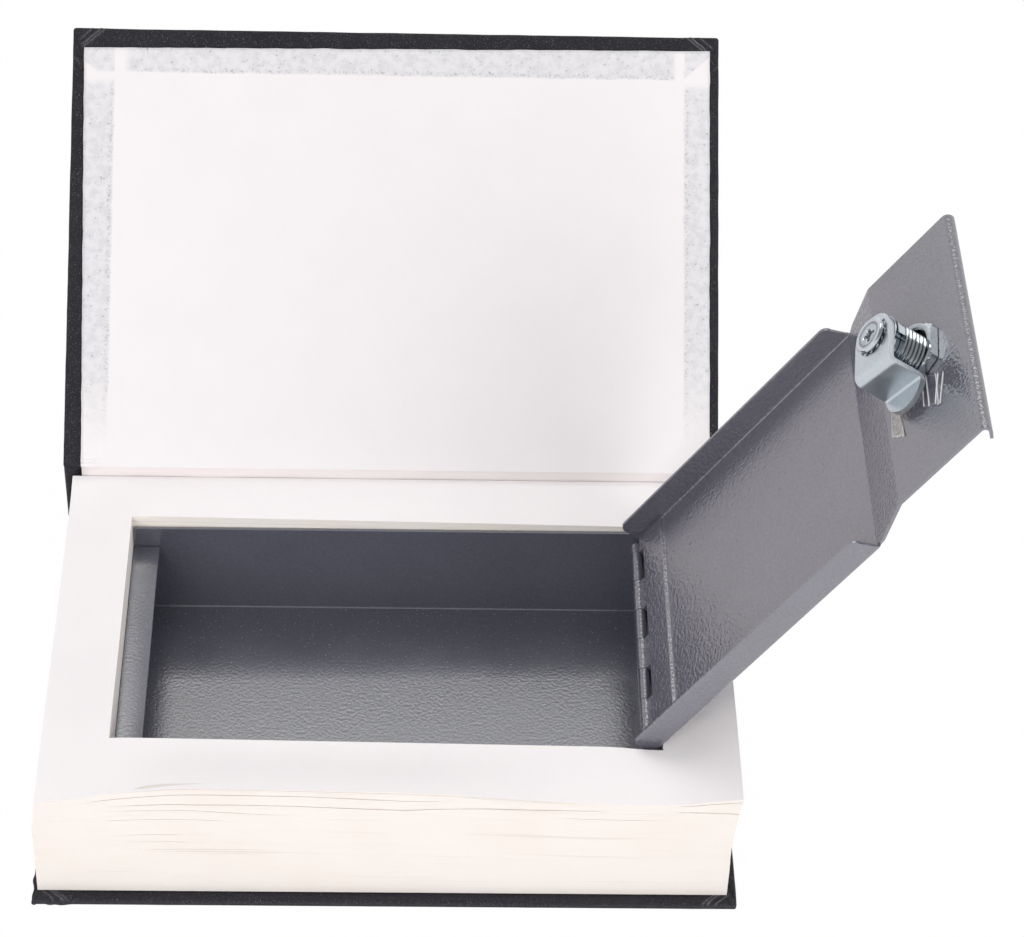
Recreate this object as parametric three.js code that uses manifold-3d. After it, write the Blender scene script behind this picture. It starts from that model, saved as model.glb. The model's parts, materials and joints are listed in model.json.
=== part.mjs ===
// Book diversion safe: a hardback whose page block is cut out round a lockable steel box.
// The book lies on its back cover with the spine at +Y and the fore-edge at -Y.
// Millimetres, +Z up, origin at the centre of the back cover's underside.
// The front cover stands open, and the steel lid is swung up to the right.

import * as THREE from 'three';
import { mergeVertices } from 'three/addons/utils/BufferGeometryUtils.js';
import Module from 'manifold-3d';

const wasm = await Module();
wasm.setup();

// Book case
const bookLength = 240;        // head to tail, along X
const clothThick = 0.4;
const greyboardThick = 1.8;
const glueGap = 0.2;           // between the glued layers of a cover
const paperThick = 0.3;
const turnIn = 16;             // cloth folded over onto the inside of a board
const jointWidth = 7;          // bare cloth between a board and the spine
const spineHeight = 46.6;
const frontBoardDepth = 157.5;
const paperFold = 0.4;         // front paper starts this far from the cover's fold
const paperInset = 5.4;        // border of cloth left bare round the back paper
const coverOpenAngle = 139.8;
const foldGap = 0.3;           // from the pages' back edge to the cover's fold
const foldRise = 1.8;          // the fold lies this far above the top leaf
const grooveFlat = 1.0;        // joint cloth left flat on each side of the pressed groove
const grooveSlope = 1.6;
const grooveHeight = 1.5;
const spineBend = 2.2;         // cloth's radius round the spine's lower edge
const jointGap = 0.3;          // front joint cloth to the spine's cloth
const jointBulge = 0.5;

// The front paper is glued in slightly askew, so its borders differ
const borderHeadFore = 4.2;
const borderHeadJoint = 6.6;
const borderTail = 3.4;
const borderForeHead = 7.6;
const borderForeTail = 5.4;

// Page block
const blockLength = 234.8;
const blockDepth = 157.9;
const blockSquare = 3.8;       // cover showing beyond the pages at the fore-edge
const spineGap = 3.3;          // from the pages to the inside of the spine
const blockOffset = -0.8;
const pageTop = 50.2;
const leftDroop = 4.2;
const rightFlare = 3.4;
const lidTilt = 2.8;           // the leaves lie this much lower beside the hinge than at the far end
const frontLift = 2.0;         // and this much higher in front of the window than behind it
const foreSwell = 4.3;
const swellInset = 15;         // where the swell starts, in from the left end
const swellRise = 38;          // how far it takes to reach its height
const swellFall = 75;          // and to fall away again
const swellOutset = 41;        // where it has died away, in from the right end
const levelBand = 2;           // leaves stay level this far beyond the window
const pressRun = 12;           // how gently the leaves turn down to the lid that presses on them
const pressLead = 4;           // they are down this far before the window's edge
const pressSide = 8;           // and turn up again this far beyond the lid's sides
const lidRestGap = 0.35;       // lid's outer face to the page edge that it leans on
const gutterRun = 11;          // width of the leaves' turn down into the gutter
const gutterDip = 1.8;         // how far they turn down
const leafShift = 1.7;         // the top leaves have slid this far to the right
const liningThick = 0.6;
const liningInset = 4;

// Window cut through the pages
const windowLeft = -93.3;
const windowRight = 93.5;
const windowFront = -52.8;
const windowBack = 56.5;
const uncutLeaves = 1.0;       // leaves left whole under the steel box

// Steel box
const boxSheet = 1.0;
const boxHeight = 40.6;
const boxGapSide = 0.6;        // box to page edge, left, front and back
const boxGapHinge = 1.5;       // wider beside the hinge
const boxSeat = 0.3;
const boxBend = 1.8;           // outer radius of the folds round the floor
const hingeWallDrop = 3.9;     // the wall under the hinge is lower than the rim

// Latch ledge that the lid closes onto
const ledgeWidth = 7.9;
const ledgeSheet = 1.2;
const ledgeBelowRim = 8.9;
const ledgeLeg = 12;
const ledgeBend = 1.0;
const weldGap = 0.3;

// Piano hinge
const pinRadius = 0.8;
const barrelRadius = 1.85;
const barrelBore = 1.05;
const leafThick = 0.8;
const hingeDrop = 1.4;         // hinge axis below the rim
const hingeWallGap = 0.4;      // hinge barrel to the box wall
const pinProud = 0.6;          // pin beyond the end knuckles
const leafMargin = 1.5;        // from the hinge leaves to the lid's flanges
const knuckleMargin = 3.5;     // from the end knuckles to the lid's flanges
const knuckleFirst = 4.5;
const knuckleWhole = 6;        // full knuckles between the two short end ones
const knuckleLast = 5.2;
const knuckleGap = 0.3;
const leafClear = 0.35;        // leaf to the other leaf's knuckles
const boxLeafDepth = 13;
const lidLeafDepth = 14.6;

// Lid, drawn along its own x from the hinge axis, its underside facing its own +z
const lidOpenAngle = 124;
const lidSheet = 1.1;
const lidSideGap = 0.5;        // flange to box wall
const lidEndGap = 0.8;         // free end to box wall
const lidRootGap = 0.45;       // panel edge to hinge barrel
const slotDepth = 2.0;         // slots in panel and leaf beside the knuckles of the box leaf
const slotClear = 0.6;
const panelOffset = 0.9;       // panel underside, measured outward from the axis
const joggleRun = 19.5;
const lockPlateLength = 40.65; // from the joggle to the free end
const joggleDrop = 7.4;
const flangeHeight = 10.2;
const flangeCorner = 2.5;
const flangeRun = 1.5;         // panel left bare between the flanges' far ends and the joggle
const flangeRootGap = 1.4;     // flanges start this far along the panel
const flangeLead = 2.8;        // and reach back this far toward the hinge at their free edge
const flangeSlope = 2.4;       // far end leans this far past its own top corner
const flangeNose = 3.0;
const foldInner = 0.6;         // inside radius of the folds along the flanges
const lipHeight = 4.4;
const lipRadius = 1.6;

// Cam lock
const lockFromEnd = 24.65;     // lock axis to the lid's free end
const lockAcross = 2.6;
const barrelDiameter = 19;
const barrelFlats = 16.4;
const barrelLength = 14.7;     // inside the lid
const notchDepth = 3.6;
const notchSweep = 104;        // lets the stop lug turn a quarter
const notchStart = -126;
const holeClear = 0.3;
const bezelDiameter = 22.5;
const bezelHeight = 2.2;
const bezelSlope = 1.6;
const bezelRim = 0.7;
const nutAcrossFlats = 23.3;
const nutHeight = 3.3;
const nutRestAngle = 21.6;
const nutChamfer = 0.8;
const nutChamferClear = 0.1;   // the chamfer's circle lies this far outside the flats
const plugDiameter = 12.4;
const plugRecess = 0.3;        // plug's face below the bezel's
const plugSetback = 0.2;       // plug's body short of the barrel's end
const turnClear = 0.3;
const keywayWidth = 1.6;
const keywayHeight = 6.6;
const keywayDepth = 13;
const tailDiameter = 8.6;
const tailFlats = 6.6;
const stopWasherDiameter = 17.4;
const stopWasherThick = 0.6;
const stopLugWidth = 1.2;
const stopLugReach = 2.8;
const stopLugInset = 0.8;      // from the plug to the lug
const stopLugAngle = -119;
const camThick = 2.0;
const camWidth = 17.0;
const camWebReach = 15.0;
const camTipReach = 22.8;
const camDrop = 13.3;          // crank, from the flat at the screw to the tip
const camBend = 1.9;           // radius of the bends at mid sheet
const camRestAngle = 10;       // turned past square, toward the hinge
const camClear = 0.2;
const camWasherDiameter = 13.8;
const camWasherThick = 0.4;
const camWasherTeeth = 14;
const camWasherToothDepth = 0.8;
const camScrewHead = 12.5;
const camScrewHeadHeight = 1.2;
const camScrewBevel = 0.7;
const camScrewEdge = 0.6;      // height lost from the head's middle to its rim
const camScrewDome = 0.15;
const camScrewShank = 4.0;
const camScrewLength = 7.0;
const screwHoleSpare = 0.5;    // hole left beyond the screw's point
const recessLength = 5.6;
const recessWidth = 1.3;
const recessDepth = 0.8;
const waferCount = 5;
const waferThick = 0.9;
const waferPitch = 2.0;
const waferFirst = 2.6;
const waferWidth = 7.6;
const waferHeight = 9.4;
const waferWindowWidth = 2.6;
const waferWindowHeight = 7.0;
const waferClear = 0.2;
const springDiameter = 0.9;
const springLength = 3.0;

// How finely round shapes are drawn, and how far a cut runs beyond what it cuts
const roundSteps = 40;
const smallRoundSteps = 20;
const flattedSteps = 12;
const bendSteps = 4;
const cutMargin = 1;

// Sizes that follow from the ones above
const halfLength = bookLength / 2;
const boardDepth = blockSquare + blockDepth + spineGap;
const foreEdge = -boardDepth / 2;
const boardThick = 2 * clothThick + greyboardThick + 2 * glueGap;
const coverThick = boardThick + glueGap + paperThick;
const spineFace = boardDepth / 2;
const blockFront = foreEdge + blockSquare;
const blockBack = blockFront + blockDepth;
const blockBottom = coverThick;
const coverHinge = new THREE.Vector3(0, blockBack + foldGap, pageTop + foldRise);
const boxBottom = blockBottom + uncutLeaves + boxSeat;
const boxTop = boxBottom + boxHeight;
const boxLeft = windowLeft + boxGapSide;
const boxRight = windowRight - boxGapHinge;
const boxFront = windowFront + boxGapSide;
const boxBack = windowBack - boxGapSide;
const innerLeft = boxLeft + boxSheet;
const innerRight = boxRight - boxSheet;
const innerFront = boxFront + boxSheet;
const innerBack = boxBack - boxSheet;
const hingeX = innerRight - hingeWallGap - barrelRadius;
const hingeZ = boxTop - hingeDrop;
const lidFront = innerFront + lidSideGap;
const lidBack = innerBack - lidSideGap;
const lidLength = hingeX - innerLeft - lidEndGap;
const panelLength = lidLength - joggleRun - lockPlateLength;
const lockAlong = lidLength - lockFromEnd;
const hingeBackEnd = lidBack - lidSheet - knuckleMargin;
const hingeFrontEnd = lidFront + lidSheet + knuckleMargin;
const leafBack = lidBack - lidSheet - leafMargin;
const leafFront = lidFront + lidSheet + leafMargin;
const lidRise = THREE.MathUtils.degToRad(180 - lidOpenAngle);
const panelStart = barrelRadius + lidRootGap;
const plateInner = joggleDrop - panelOffset;
const plateOuter = plateInner - lidSheet;
const barrelEnd = plateInner + barrelLength;
const bezelInner = plateOuter - weldGap;
const bezelOuter = bezelInner - bezelHeight;
const washerStart = barrelEnd + turnClear;
const camStart = washerStart + stopWasherThick + camClear;
const camEnd = camStart + camThick;
const screwWasherStart = camEnd + camClear;
const screwHeadStart = screwWasherStart + camWasherThick + camClear;
const camRestTurn = -90 - camRestAngle;
const nutTurn = THREE.MathUtils.degToRad(nutRestAngle);

// Turn a three.js geometry into a solid for cutting and joining
function solid(geometry) {
  const bare = geometry.clone();
  bare.deleteAttribute('normal');
  bare.deleteAttribute('uv');
  const merged = mergeVertices(bare, 1e-5);
  return new wasm.Manifold(new wasm.Mesh({
    numProp: 3,
    vertProperties: Float32Array.from(merged.attributes.position.array),
    triVerts: Uint32Array.from(merged.index.array),
  }));
}

// Turn a solid back into a three.js geometry
function geometry(body) {
  const mesh = body.getMesh();
  const result = new THREE.BufferGeometry();
  result.setAttribute('position', new THREE.BufferAttribute(Float32Array.from(mesh.vertProperties), 3));
  result.setIndex(new THREE.BufferAttribute(Uint32Array.from(mesh.triVerts), 1));
  result.computeVertexNormals();
  return result;
}

function block(x0, x1, y0, y1, z0, z1) {
  const shape = new THREE.BoxGeometry(x1 - x0, y1 - y0, z1 - z0);
  return shape.translate((x0 + x1) / 2, (y0 + y1) / 2, (z0 + z1) / 2);
}

// An outline in the XY plane, raised from z0 to z1
function prismZ(shape, z0, z1) {
  const options = { depth: z1 - z0, bevelEnabled: false, curveSegments: 8 };
  return new THREE.ExtrudeGeometry(shape, options).translate(0, 0, z0);
}

// An outline whose x is world X and whose y is world Z, running from y0 to y1
function prismY(shape, y0, y1) {
  const options = { depth: y1 - y0, bevelEnabled: false, curveSegments: 8 };
  return new THREE.ExtrudeGeometry(shape, options).rotateX(Math.PI / 2).translate(0, y1, 0);
}

// An outline whose x is world Y and whose y is world Z, running from x0 to x1
function prismX(shape, x0, x1) {
  const options = { depth: x1 - x0, bevelEnabled: false, curveSegments: 8 };
  const turned = new THREE.Matrix4().makeBasis(
    new THREE.Vector3(0, 1, 0),
    new THREE.Vector3(0, 0, 1),
    new THREE.Vector3(1, 0, 0),
  );
  return new THREE.ExtrudeGeometry(shape, options).applyMatrix4(turned).translate(x0, 0, 0);
}

function disc(diameter, z0, z1, steps = roundSteps) {
  const shape = new THREE.CylinderGeometry(diameter / 2, diameter / 2, z1 - z0, steps);
  return shape.rotateX(Math.PI / 2).translate(0, 0, (z0 + z1) / 2);
}

// A rod along Y
function rodY(radius, y0, y1, steps = smallRoundSteps) {
  return new THREE.CylinderGeometry(radius, radius, y1 - y0, steps).translate(0, (y0 + y1) / 2, 0);
}

// A strip of even thickness along a line of points, as a closed outline
function strip(points, thickness) {
  const left = [];
  const right = [];
  points.forEach((point, i) => {
    const before = points[Math.max(i - 1, 0)];
    const after = points[Math.min(i + 1, points.length - 1)];
    const into = point.clone().sub(before);
    const out = after.clone().sub(point);
    const first = (into.length() ? into : out).clone().normalize();
    const second = (out.length() ? out : into).clone().normalize();
    const middle = first.clone().add(second).normalize();
    const across = new THREE.Vector2(-middle.y, middle.x);
    const reach = thickness / 2 / Math.max(middle.dot(first), 0.5);
    left.push(point.clone().addScaledVector(across, reach));
    right.push(point.clone().addScaledVector(across, -reach));
  });
  return new THREE.Shape([...right, ...left.reverse()]);
}

function arcPoints(centreX, centreY, radius, from, to, steps) {
  return Array.from({ length: steps + 1 }, (_, i) => {
    const angle = from + ((to - from) * i) / steps;
    return new THREE.Vector2(centreX + radius * Math.cos(angle), centreY + radius * Math.sin(angle));
  });
}

function smooth(from, to, value) {
  return THREE.MathUtils.smoothstep((value - from) / (to - from), 0, 1);
}

const materials = {
  cloth: { color: 0x2f2e33, roughness: 0.7, metalness: 0 },
  greyboard: { color: 0x8d867b, roughness: 0.95, metalness: 0 },
  paper: { color: 0xf3efee, roughness: 0.9, metalness: 0 },
  pages: { color: 0xf8f0e6, roughness: 0.9, metalness: 0 },
  lining: { color: 0xd9d2c2, roughness: 0.95, metalness: 0 },
  steel: { color: 0x6a6a74, roughness: 0.55, metalness: 0.3 },
  ledge: { color: 0x7a7b84, roughness: 0.55, metalness: 0.3 },
  lid: { color: 0x85868f, roughness: 0.5, metalness: 0.3 },
  zinc: { color: 0xc3ccd3, roughness: 0.25, metalness: 0.9 },
  brass: { color: 0xc7a34d, roughness: 0.35, metalness: 0.9 },
};

function piece(name, shape, look) {
  const mesh = new THREE.Mesh(shape, new THREE.MeshStandardMaterial(materials[look]));
  mesh.name = name;
  return mesh;
}

// Cloth glued round a board: outer sheet, wrapped edges and turn-ins.
// The board lies from y0 to y1 and z0 is its outer face; side is +1 where the inside faces up.
// The end at y1 is left open, because there the cloth runs on into the joint.
function clothRound(y0, y1, outer, side) {
  const span = (a, b) => [outer + side * a, outer + side * b].sort((p, q) => p - q);
  const [low, high] = span(0, boardThick);
  const [cavityLow, cavityHigh] = span(clothThick, boardThick - clothThick);
  const [windowLow, windowHigh] = span(boardThick - clothThick - glueGap, boardThick + cutMargin);
  const inner = halfLength - clothThick;
  const beyond = y1 + cutMargin;
  let cloth = solid(block(-halfLength, halfLength, y0, y1, low, high));
  cloth = cloth.subtract(solid(block(-inner, inner, y0 + clothThick, beyond, cavityLow, cavityHigh)));
  const bare = halfLength - turnIn;
  return cloth.subtract(solid(block(-bare, bare, y0 + turnIn, beyond, windowLow, windowHigh)));
}

// The greyboard that fills a cloth cover
function boardShape(y0, y1, outer, side) {
  const start = outer + side * (clothThick + glueGap);
  const end = start + side * greyboardThick;
  const inset = clothThick + glueGap;
  const low = Math.min(start, end);
  const high = Math.max(start, end);
  return block(-halfLength + inset, halfLength - inset, y0 + inset, y1, low, high);
}

const backBoardEnd = spineFace - jointWidth;
const spineTop = coverThick + spineHeight;

// Back cover cloth, rear joint and spine covering are one piece of cloth
function caseCloth() {
  const back = clothRound(foreEdge, backBoardEnd + clothThick, 0, 1);
  const half = clothThick / 2;
  const spineOuter = spineFace + boardThick;
  const grooveRun = grooveFlat + grooveSlope;
  const joint = [
    new THREE.Vector2(backBoardEnd, half),
    new THREE.Vector2(backBoardEnd + grooveFlat, half),
    new THREE.Vector2(backBoardEnd + grooveRun, grooveHeight),
    new THREE.Vector2(spineFace - grooveRun, grooveHeight),
    new THREE.Vector2(spineFace - grooveFlat, half),
    ...arcPoints(spineOuter - half - spineBend, half + spineBend, spineBend, -Math.PI / 2, 0, bendSteps),
    new THREE.Vector2(spineOuter - half, spineTop),
  ];
  const sheet = solid(prismX(strip(joint, clothThick), -halfLength, halfLength));
  const wrap = solid(block(-halfLength, halfLength, spineFace, spineOuter, boardThick, spineTop));
  const inner = halfLength - clothThick;
  const above = spineTop + cutMargin;
  const cavity = solid(block(-inner, inner, spineFace + clothThick, spineOuter - clothThick, 0, above));
  const bare = halfLength - turnIn;
  const open = solid(block(-bare, bare, spineFace - cutMargin, spineFace + clothThick + glueGap, 0, above));
  const spine = wrap.subtract(cavity).subtract(open);
  return geometry(back.add(sheet).add(spine));
}

function spineBoard() {
  const inset = clothThick + glueGap;
  const start = spineFace + inset;
  const end = start + greyboardThick;
  return block(-halfLength + inset, halfLength - inset, start, end, coverThick, spineTop - clothThick);
}

// Height of the top leaf: it droops at the left, lifts at the right and along the
// fore-edge, is pressed down where the open lid leans on it and turns down into the gutter.
function leafHeight(x, y) {
  const left = blockOffset - blockLength / 2;
  const right = blockOffset + blockLength / 2;
  const alongWindow = (x - windowLeft) / (windowRight - windowLeft);
  const level = pageTop
    - lidTilt * Math.min(Math.max(alongWindow, 0), 1)
    - leftDroop * smooth(windowLeft, left, x)
    + rightFlare * smooth(windowRight, right, x)
    + frontLift * smooth(0, windowFront, y);
  const swell = foreSwell
    * smooth(left + swellInset, left + swellInset + swellRise, x)
    * (1 - smooth(right - swellOutset - swellFall, right - swellOutset, x))
    * smooth(windowFront - levelBand, blockFront, y);
  const pressed = Math.max(level - lidRestHeight, 0)
    * smooth(windowRight - pressLead - pressRun, windowRight - pressLead, x)
    * (1 - smooth(windowRight + levelBand, right - levelBand, x))
    * smooth(lidFront - pressSide, lidFront, y)
    * (1 - smooth(lidBack, lidBack + pressSide, y));
  const gutter = (pageTop - gutterDip - level) * smooth(blockBack - gutterRun, blockBack, y);
  return level + swell - pressed + gutter;
}

// The open lid leans on the page edge, so the edge is as high as the lid's outer face there
const lidOuter = panelOffset + lidSheet;
const lidRestAlong = (windowRight - hingeX - lidOuter * Math.sin(lidRise)) / Math.cos(lidRise);
const lidRestFace = hingeZ + lidRestAlong * Math.sin(lidRise) - lidOuter * Math.cos(lidRise);
const lidRestHeight = lidRestFace - lidRestGap;

function pageBlock() {
  const columns = 30;
  const rows = 22;
  const layers = 5;
  const height = pageTop - blockBottom;
  const leaves = new THREE.BoxGeometry(blockLength, blockDepth, height, columns, rows, layers);
  leaves.translate(blockOffset, blockFront + blockDepth / 2, blockBottom + height / 2);
  const points = leaves.attributes.position;
  for (let i = 0; i < points.count; i += 1) {
    const share = (points.getZ(i) - blockBottom) / height;
    const raised = blockBottom + share * (leafHeight(points.getX(i), points.getY(i)) - blockBottom);
    points.setZ(i, raised);
    points.setX(i, points.getX(i) + leafShift * share * share);
  }
  const low = blockBottom + uncutLeaves;
  const high = coverHinge.z + rightFlare + foreSwell;
  const cut = block(windowLeft, windowRight, windowFront, windowBack, low, high);
  return geometry(solid(leaves).subtract(solid(cut)));
}

// A trough outline with its lower corners rounded: sides at from and to, open upward
function trough(from, to, bottom, top, radius) {
  return new THREE.Shape([
    new THREE.Vector2(to, top),
    new THREE.Vector2(from, top),
    ...arcPoints(from + radius, bottom + radius, radius, Math.PI, 1.5 * Math.PI, bendSteps),
    ...arcPoints(to - radius, bottom + radius, radius, 1.5 * Math.PI, 2 * Math.PI, bendSteps),
  ]);
}

// Steel box, folded up from one sheet on all four sides. The wall under the hinge and the wall
// beside the latch ledge are cut lower than its rim.
function steelBox() {
  const tub = (left, right, front, back, bottom, top, radius) => {
    const alongX = prismX(trough(front, back, bottom, top, radius), left, right);
    const alongY = prismY(trough(left, right, bottom, top, radius), front, back);
    return solid(alongX).intersect(solid(alongY));
  };
  const floor = boxBottom + boxSheet;
  const above = boxTop + cutMargin;
  const outer = tub(boxLeft, boxRight, boxFront, boxBack, boxBottom, boxTop, boxBend);
  const inner = tub(innerLeft, innerRight, innerFront, innerBack, floor, above, boxBend - boxSheet);
  const lowered = (left, right, top) => solid(block(left, right, innerFront, innerBack, top, above));
  const hingeSide = lowered(innerRight - cutMargin, boxRight + cutMargin, boxTop - hingeWallDrop);
  const ledgeSide = lowered(boxLeft - cutMargin, innerLeft + cutMargin, boxTop - ledgeBelowRim);
  return geometry(outer.subtract(inner).subtract(hingeSide).subtract(ledgeSide));
}

// Angle welded across the left end, for the lid to close onto and the cam to hook under
function latchLedge() {
  const top = boxTop - ledgeBelowRim;
  const left = innerLeft + weldGap;
  const right = innerLeft + ledgeWidth;
  const outline = new THREE.Shape();
  outline.moveTo(left, top - ledgeLeg);
  outline.lineTo(left + ledgeSheet, top - ledgeLeg);
  outline.lineTo(left + ledgeSheet, top - ledgeSheet);
  outline.lineTo(right, top - ledgeSheet);
  outline.lineTo(right, top);
  outline.lineTo(left + ledgeBend, top);
  outline.absarc(left + ledgeBend, top - ledgeBend, ledgeBend, Math.PI / 2, Math.PI);
  return prismY(outline, innerFront + weldGap, innerBack - weldGap);
}

// The hinge knuckles from the back of the book to the front.
// They belong to the lid and to the box by turns, starting with the lid.
function knuckleRun() {
  const pitch = (hingeBackEnd - hingeFrontEnd - knuckleFirst - knuckleLast) / knuckleWhole;
  const lengths = [knuckleFirst, ...Array(knuckleWhole).fill(pitch), knuckleLast];
  let back = hingeBackEnd;
  return lengths.map((length, i) => {
    const from = back - knuckleGap / 2;
    back -= length;
    return { back: from, front: back + knuckleGap / 2, onLid: i % 2 === 0 };
  });
}

const knuckles = knuckleRun();

// A leaf with its knuckles curled round the pin, drawn with the pin on its Y axis
function hingeLeaf(plate, onLid) {
  let leaf = solid(plate);
  knuckles.filter((k) => k.onLid !== onLid).forEach((k) => {
    const reach = barrelRadius + leafClear;
    leaf = leaf.subtract(solid(rodY(reach, k.front - knuckleGap, k.back + knuckleGap)));
  });
  knuckles.filter((k) => k.onLid === onLid).forEach((k) => {
    leaf = leaf.add(solid(rodY(barrelRadius, k.front, k.back)));
  });
  const beyondBack = leafBack + cutMargin;
  const beyondFront = leafFront - cutMargin;
  leaf = leaf.subtract(solid(rodY(barrelRadius + leafClear, hingeBackEnd, beyondBack)));
  leaf = leaf.subtract(solid(rodY(barrelRadius + leafClear, beyondFront, hingeFrontEnd)));
  return leaf.subtract(solid(rodY(barrelBore, beyondFront, beyondBack)));
}

function boxHingeLeaf() {
  const right = innerRight - weldGap - hingeX;
  const plate = block(right - leafThick, right, leafFront, leafBack, -boxLeafDepth, 0);
  return geometry(hingeLeaf(plate, false).translate([hingeX, 0, hingeZ]));
}

function lidHingeLeaf() {
  const top = -panelOffset + weldGap;
  const low = top - cutMargin;
  const high = top + leafThick + cutMargin;
  let plate = solid(block(0, lidLeafDepth, leafFront, leafBack, top, top + leafThick));
  knuckles.filter((k) => !k.onLid).forEach((k) => {
    const notchEnd = panelStart + slotDepth;
    const notch = block(-cutMargin, notchEnd, k.front - knuckleGap, k.back + knuckleGap, low, high);
    plate = plate.subtract(solid(notch));
  });
  return geometry(hingeLeaf(geometry(plate), true));
}

function hingePin() {
  const pin = rodY(pinRadius, hingeFrontEnd - pinProud, hingeBackEnd + pinProud);
  return pin.translate(hingeX, 0, hingeZ);
}

// A round with two flats, facing +x and -x, that keep the part from turning
function flattedRound(diameter, flats) {
  const radius = diameter / 2;
  const angle = Math.acos(flats / 2 / radius);
  const points = [
    ...arcPoints(0, 0, radius, angle, Math.PI - angle, flattedSteps),
    ...arcPoints(0, 0, radius, Math.PI + angle, 2 * Math.PI - angle, flattedSteps),
  ];
  return new THREE.Shape(points);
}

// Side view of the lid's flanges
function flangeOutline() {
  const root = panelStart + flangeRootGap;
  const nearCorner = root - flangeLead + flangeCorner;
  const outer = -lidOuter;
  const free = outer + flangeHeight;
  const end = panelLength - flangeRun;
  const shape = new THREE.Shape();
  shape.moveTo(root, outer);
  shape.lineTo(end + flangeSlope, outer);
  shape.lineTo(end, free - flangeNose);
  shape.quadraticCurveTo(end, free, end - flangeNose, free);
  shape.lineTo(nearCorner, free);
  shape.absarc(nearCorner, free - flangeCorner, flangeCorner, Math.PI / 2, Math.PI);
  return shape;
}

// One sheet: main panel, sloping joggle, sunk lock plate and an end lip turned outward
function lidPanel() {
  const middle = -panelOffset - lidSheet / 2;
  const plateMiddle = middle + joggleDrop;
  const lipCentre = lidLength - lidSheet / 2 - lipRadius;
  const run = [
    new THREE.Vector2(panelStart, middle),
    new THREE.Vector2(panelLength, middle),
    new THREE.Vector2(panelLength + joggleRun, plateMiddle),
    ...arcPoints(lipCentre, plateMiddle - lipRadius, lipRadius, Math.PI / 2, 0, 6),
    new THREE.Vector2(lipCentre + lipRadius, plateInner - lipHeight),
  ];
  const sheet = solid(prismY(strip(run, lidSheet), lidFront, lidBack));
  const foldOuter = foldInner + lidSheet;
  const free = flangeHeight - lidOuter;
  const far = panelLength + joggleRun;
  const low = -lidOuter - cutMargin;
  const high = free + cutMargin;
  const front = lidFront - cutMargin;
  const back = lidBack + cutMargin;
  const outerTrough = trough(lidFront, lidBack, -lidOuter, free, foldOuter);
  const innerTrough = trough(lidFront + lidSheet, lidBack - lidSheet, -panelOffset, high, foldInner);
  const outside = solid(prismX(outerTrough, 0, far));
  const inside = solid(prismX(innerTrough, -cutMargin, far + cutMargin));
  const channel = outside.subtract(inside).intersect(solid(prismY(flangeOutline(), front, back)));
  const square = solid(block(0, panelLength - flangeRun, front, back, low, high));
  let lid = sheet.subtract(square).add(sheet.intersect(square).intersect(outside)).add(channel);
  knuckles.filter((k) => !k.onLid).forEach((k) => {
    const slot = block(0, panelStart + slotDepth, k.front - slotClear, k.back + slotClear, low, 0);
    lid = lid.subtract(solid(slot));
  });
  const seat = flattedRound(barrelDiameter + 2 * holeClear, barrelFlats + 2 * holeClear);
  const hole = prismZ(seat, plateOuter - cutMargin, plateInner + cutMargin);
  return geometry(lid.subtract(solid(hole.translate(lockAlong, lockAcross, 0))));
}

// Spin a profile of (radius, height) points, given from the bottom up, round the Z axis
function spun(points, steps = roundSteps) {
  return new THREE.LatheGeometry(points, steps).rotateX(Math.PI / 2);
}

// A pie-shaped outline round the origin
function sector(radius, fromDegrees, toDegrees) {
  const from = THREE.MathUtils.degToRad(fromDegrees);
  const to = THREE.MathUtils.degToRad(toDegrees);
  return new THREE.Shape([new THREE.Vector2(0, 0), ...arcPoints(0, 0, radius, from, to, 8)]);
}

// Lock parts are drawn round the lock's axis, with z measured as in the lid.
// The barrel has its bezel outside the lid and a notch at its inner end for the stop lug.
function lockBarrel() {
  const bezel = spun([
    new THREE.Vector2(0, bezelOuter),
    new THREE.Vector2(bezelDiameter / 2 - bezelSlope, bezelOuter),
    new THREE.Vector2(bezelDiameter / 2, bezelInner - bezelRim),
    new THREE.Vector2(bezelDiameter / 2, bezelInner),
    new THREE.Vector2(0, bezelInner),
  ]);
  const body = prismZ(flattedRound(barrelDiameter, barrelFlats), bezelInner - bezelRim, barrelEnd);
  const notchShape = sector(barrelDiameter, notchStart, notchStart + notchSweep);
  const notch = prismZ(notchShape, barrelEnd - notchDepth, barrelEnd + cutMargin);
  const bore = disc(plugDiameter + 2 * turnClear, bezelOuter - cutMargin, barrelEnd + cutMargin);
  return geometry(solid(body).add(solid(bezel)).subtract(solid(notch)).subtract(solid(bore)));
}

// Hexagon nut, chamfered on its outer face
function lockNut() {
  const corner = nutAcrossFlats / Math.sqrt(3);
  const bottom = plateInner + weldGap;
  const top = bottom + nutHeight;
  const hexagon = new THREE.CylinderGeometry(corner, corner, nutHeight, 6);
  hexagon.rotateX(Math.PI / 2).rotateZ(nutTurn).translate(0, 0, (bottom + top) / 2);
  const envelope = spun([
    new THREE.Vector2(0, bottom - cutMargin),
    new THREE.Vector2(corner + nutChamferClear, bottom - cutMargin),
    new THREE.Vector2(corner + nutChamferClear, top - nutChamfer),
    new THREE.Vector2(nutAcrossFlats / 2 + nutChamferClear, top),
    new THREE.Vector2(0, top),
  ]);
  const bore = disc(barrelDiameter + 2 * holeClear, bottom - cutMargin, top + cutMargin);
  return geometry(solid(hexagon).intersect(solid(envelope)).subtract(solid(bore)));
}

function waferStart(i) {
  return bezelOuter + waferFirst + i * waferPitch;
}

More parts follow.
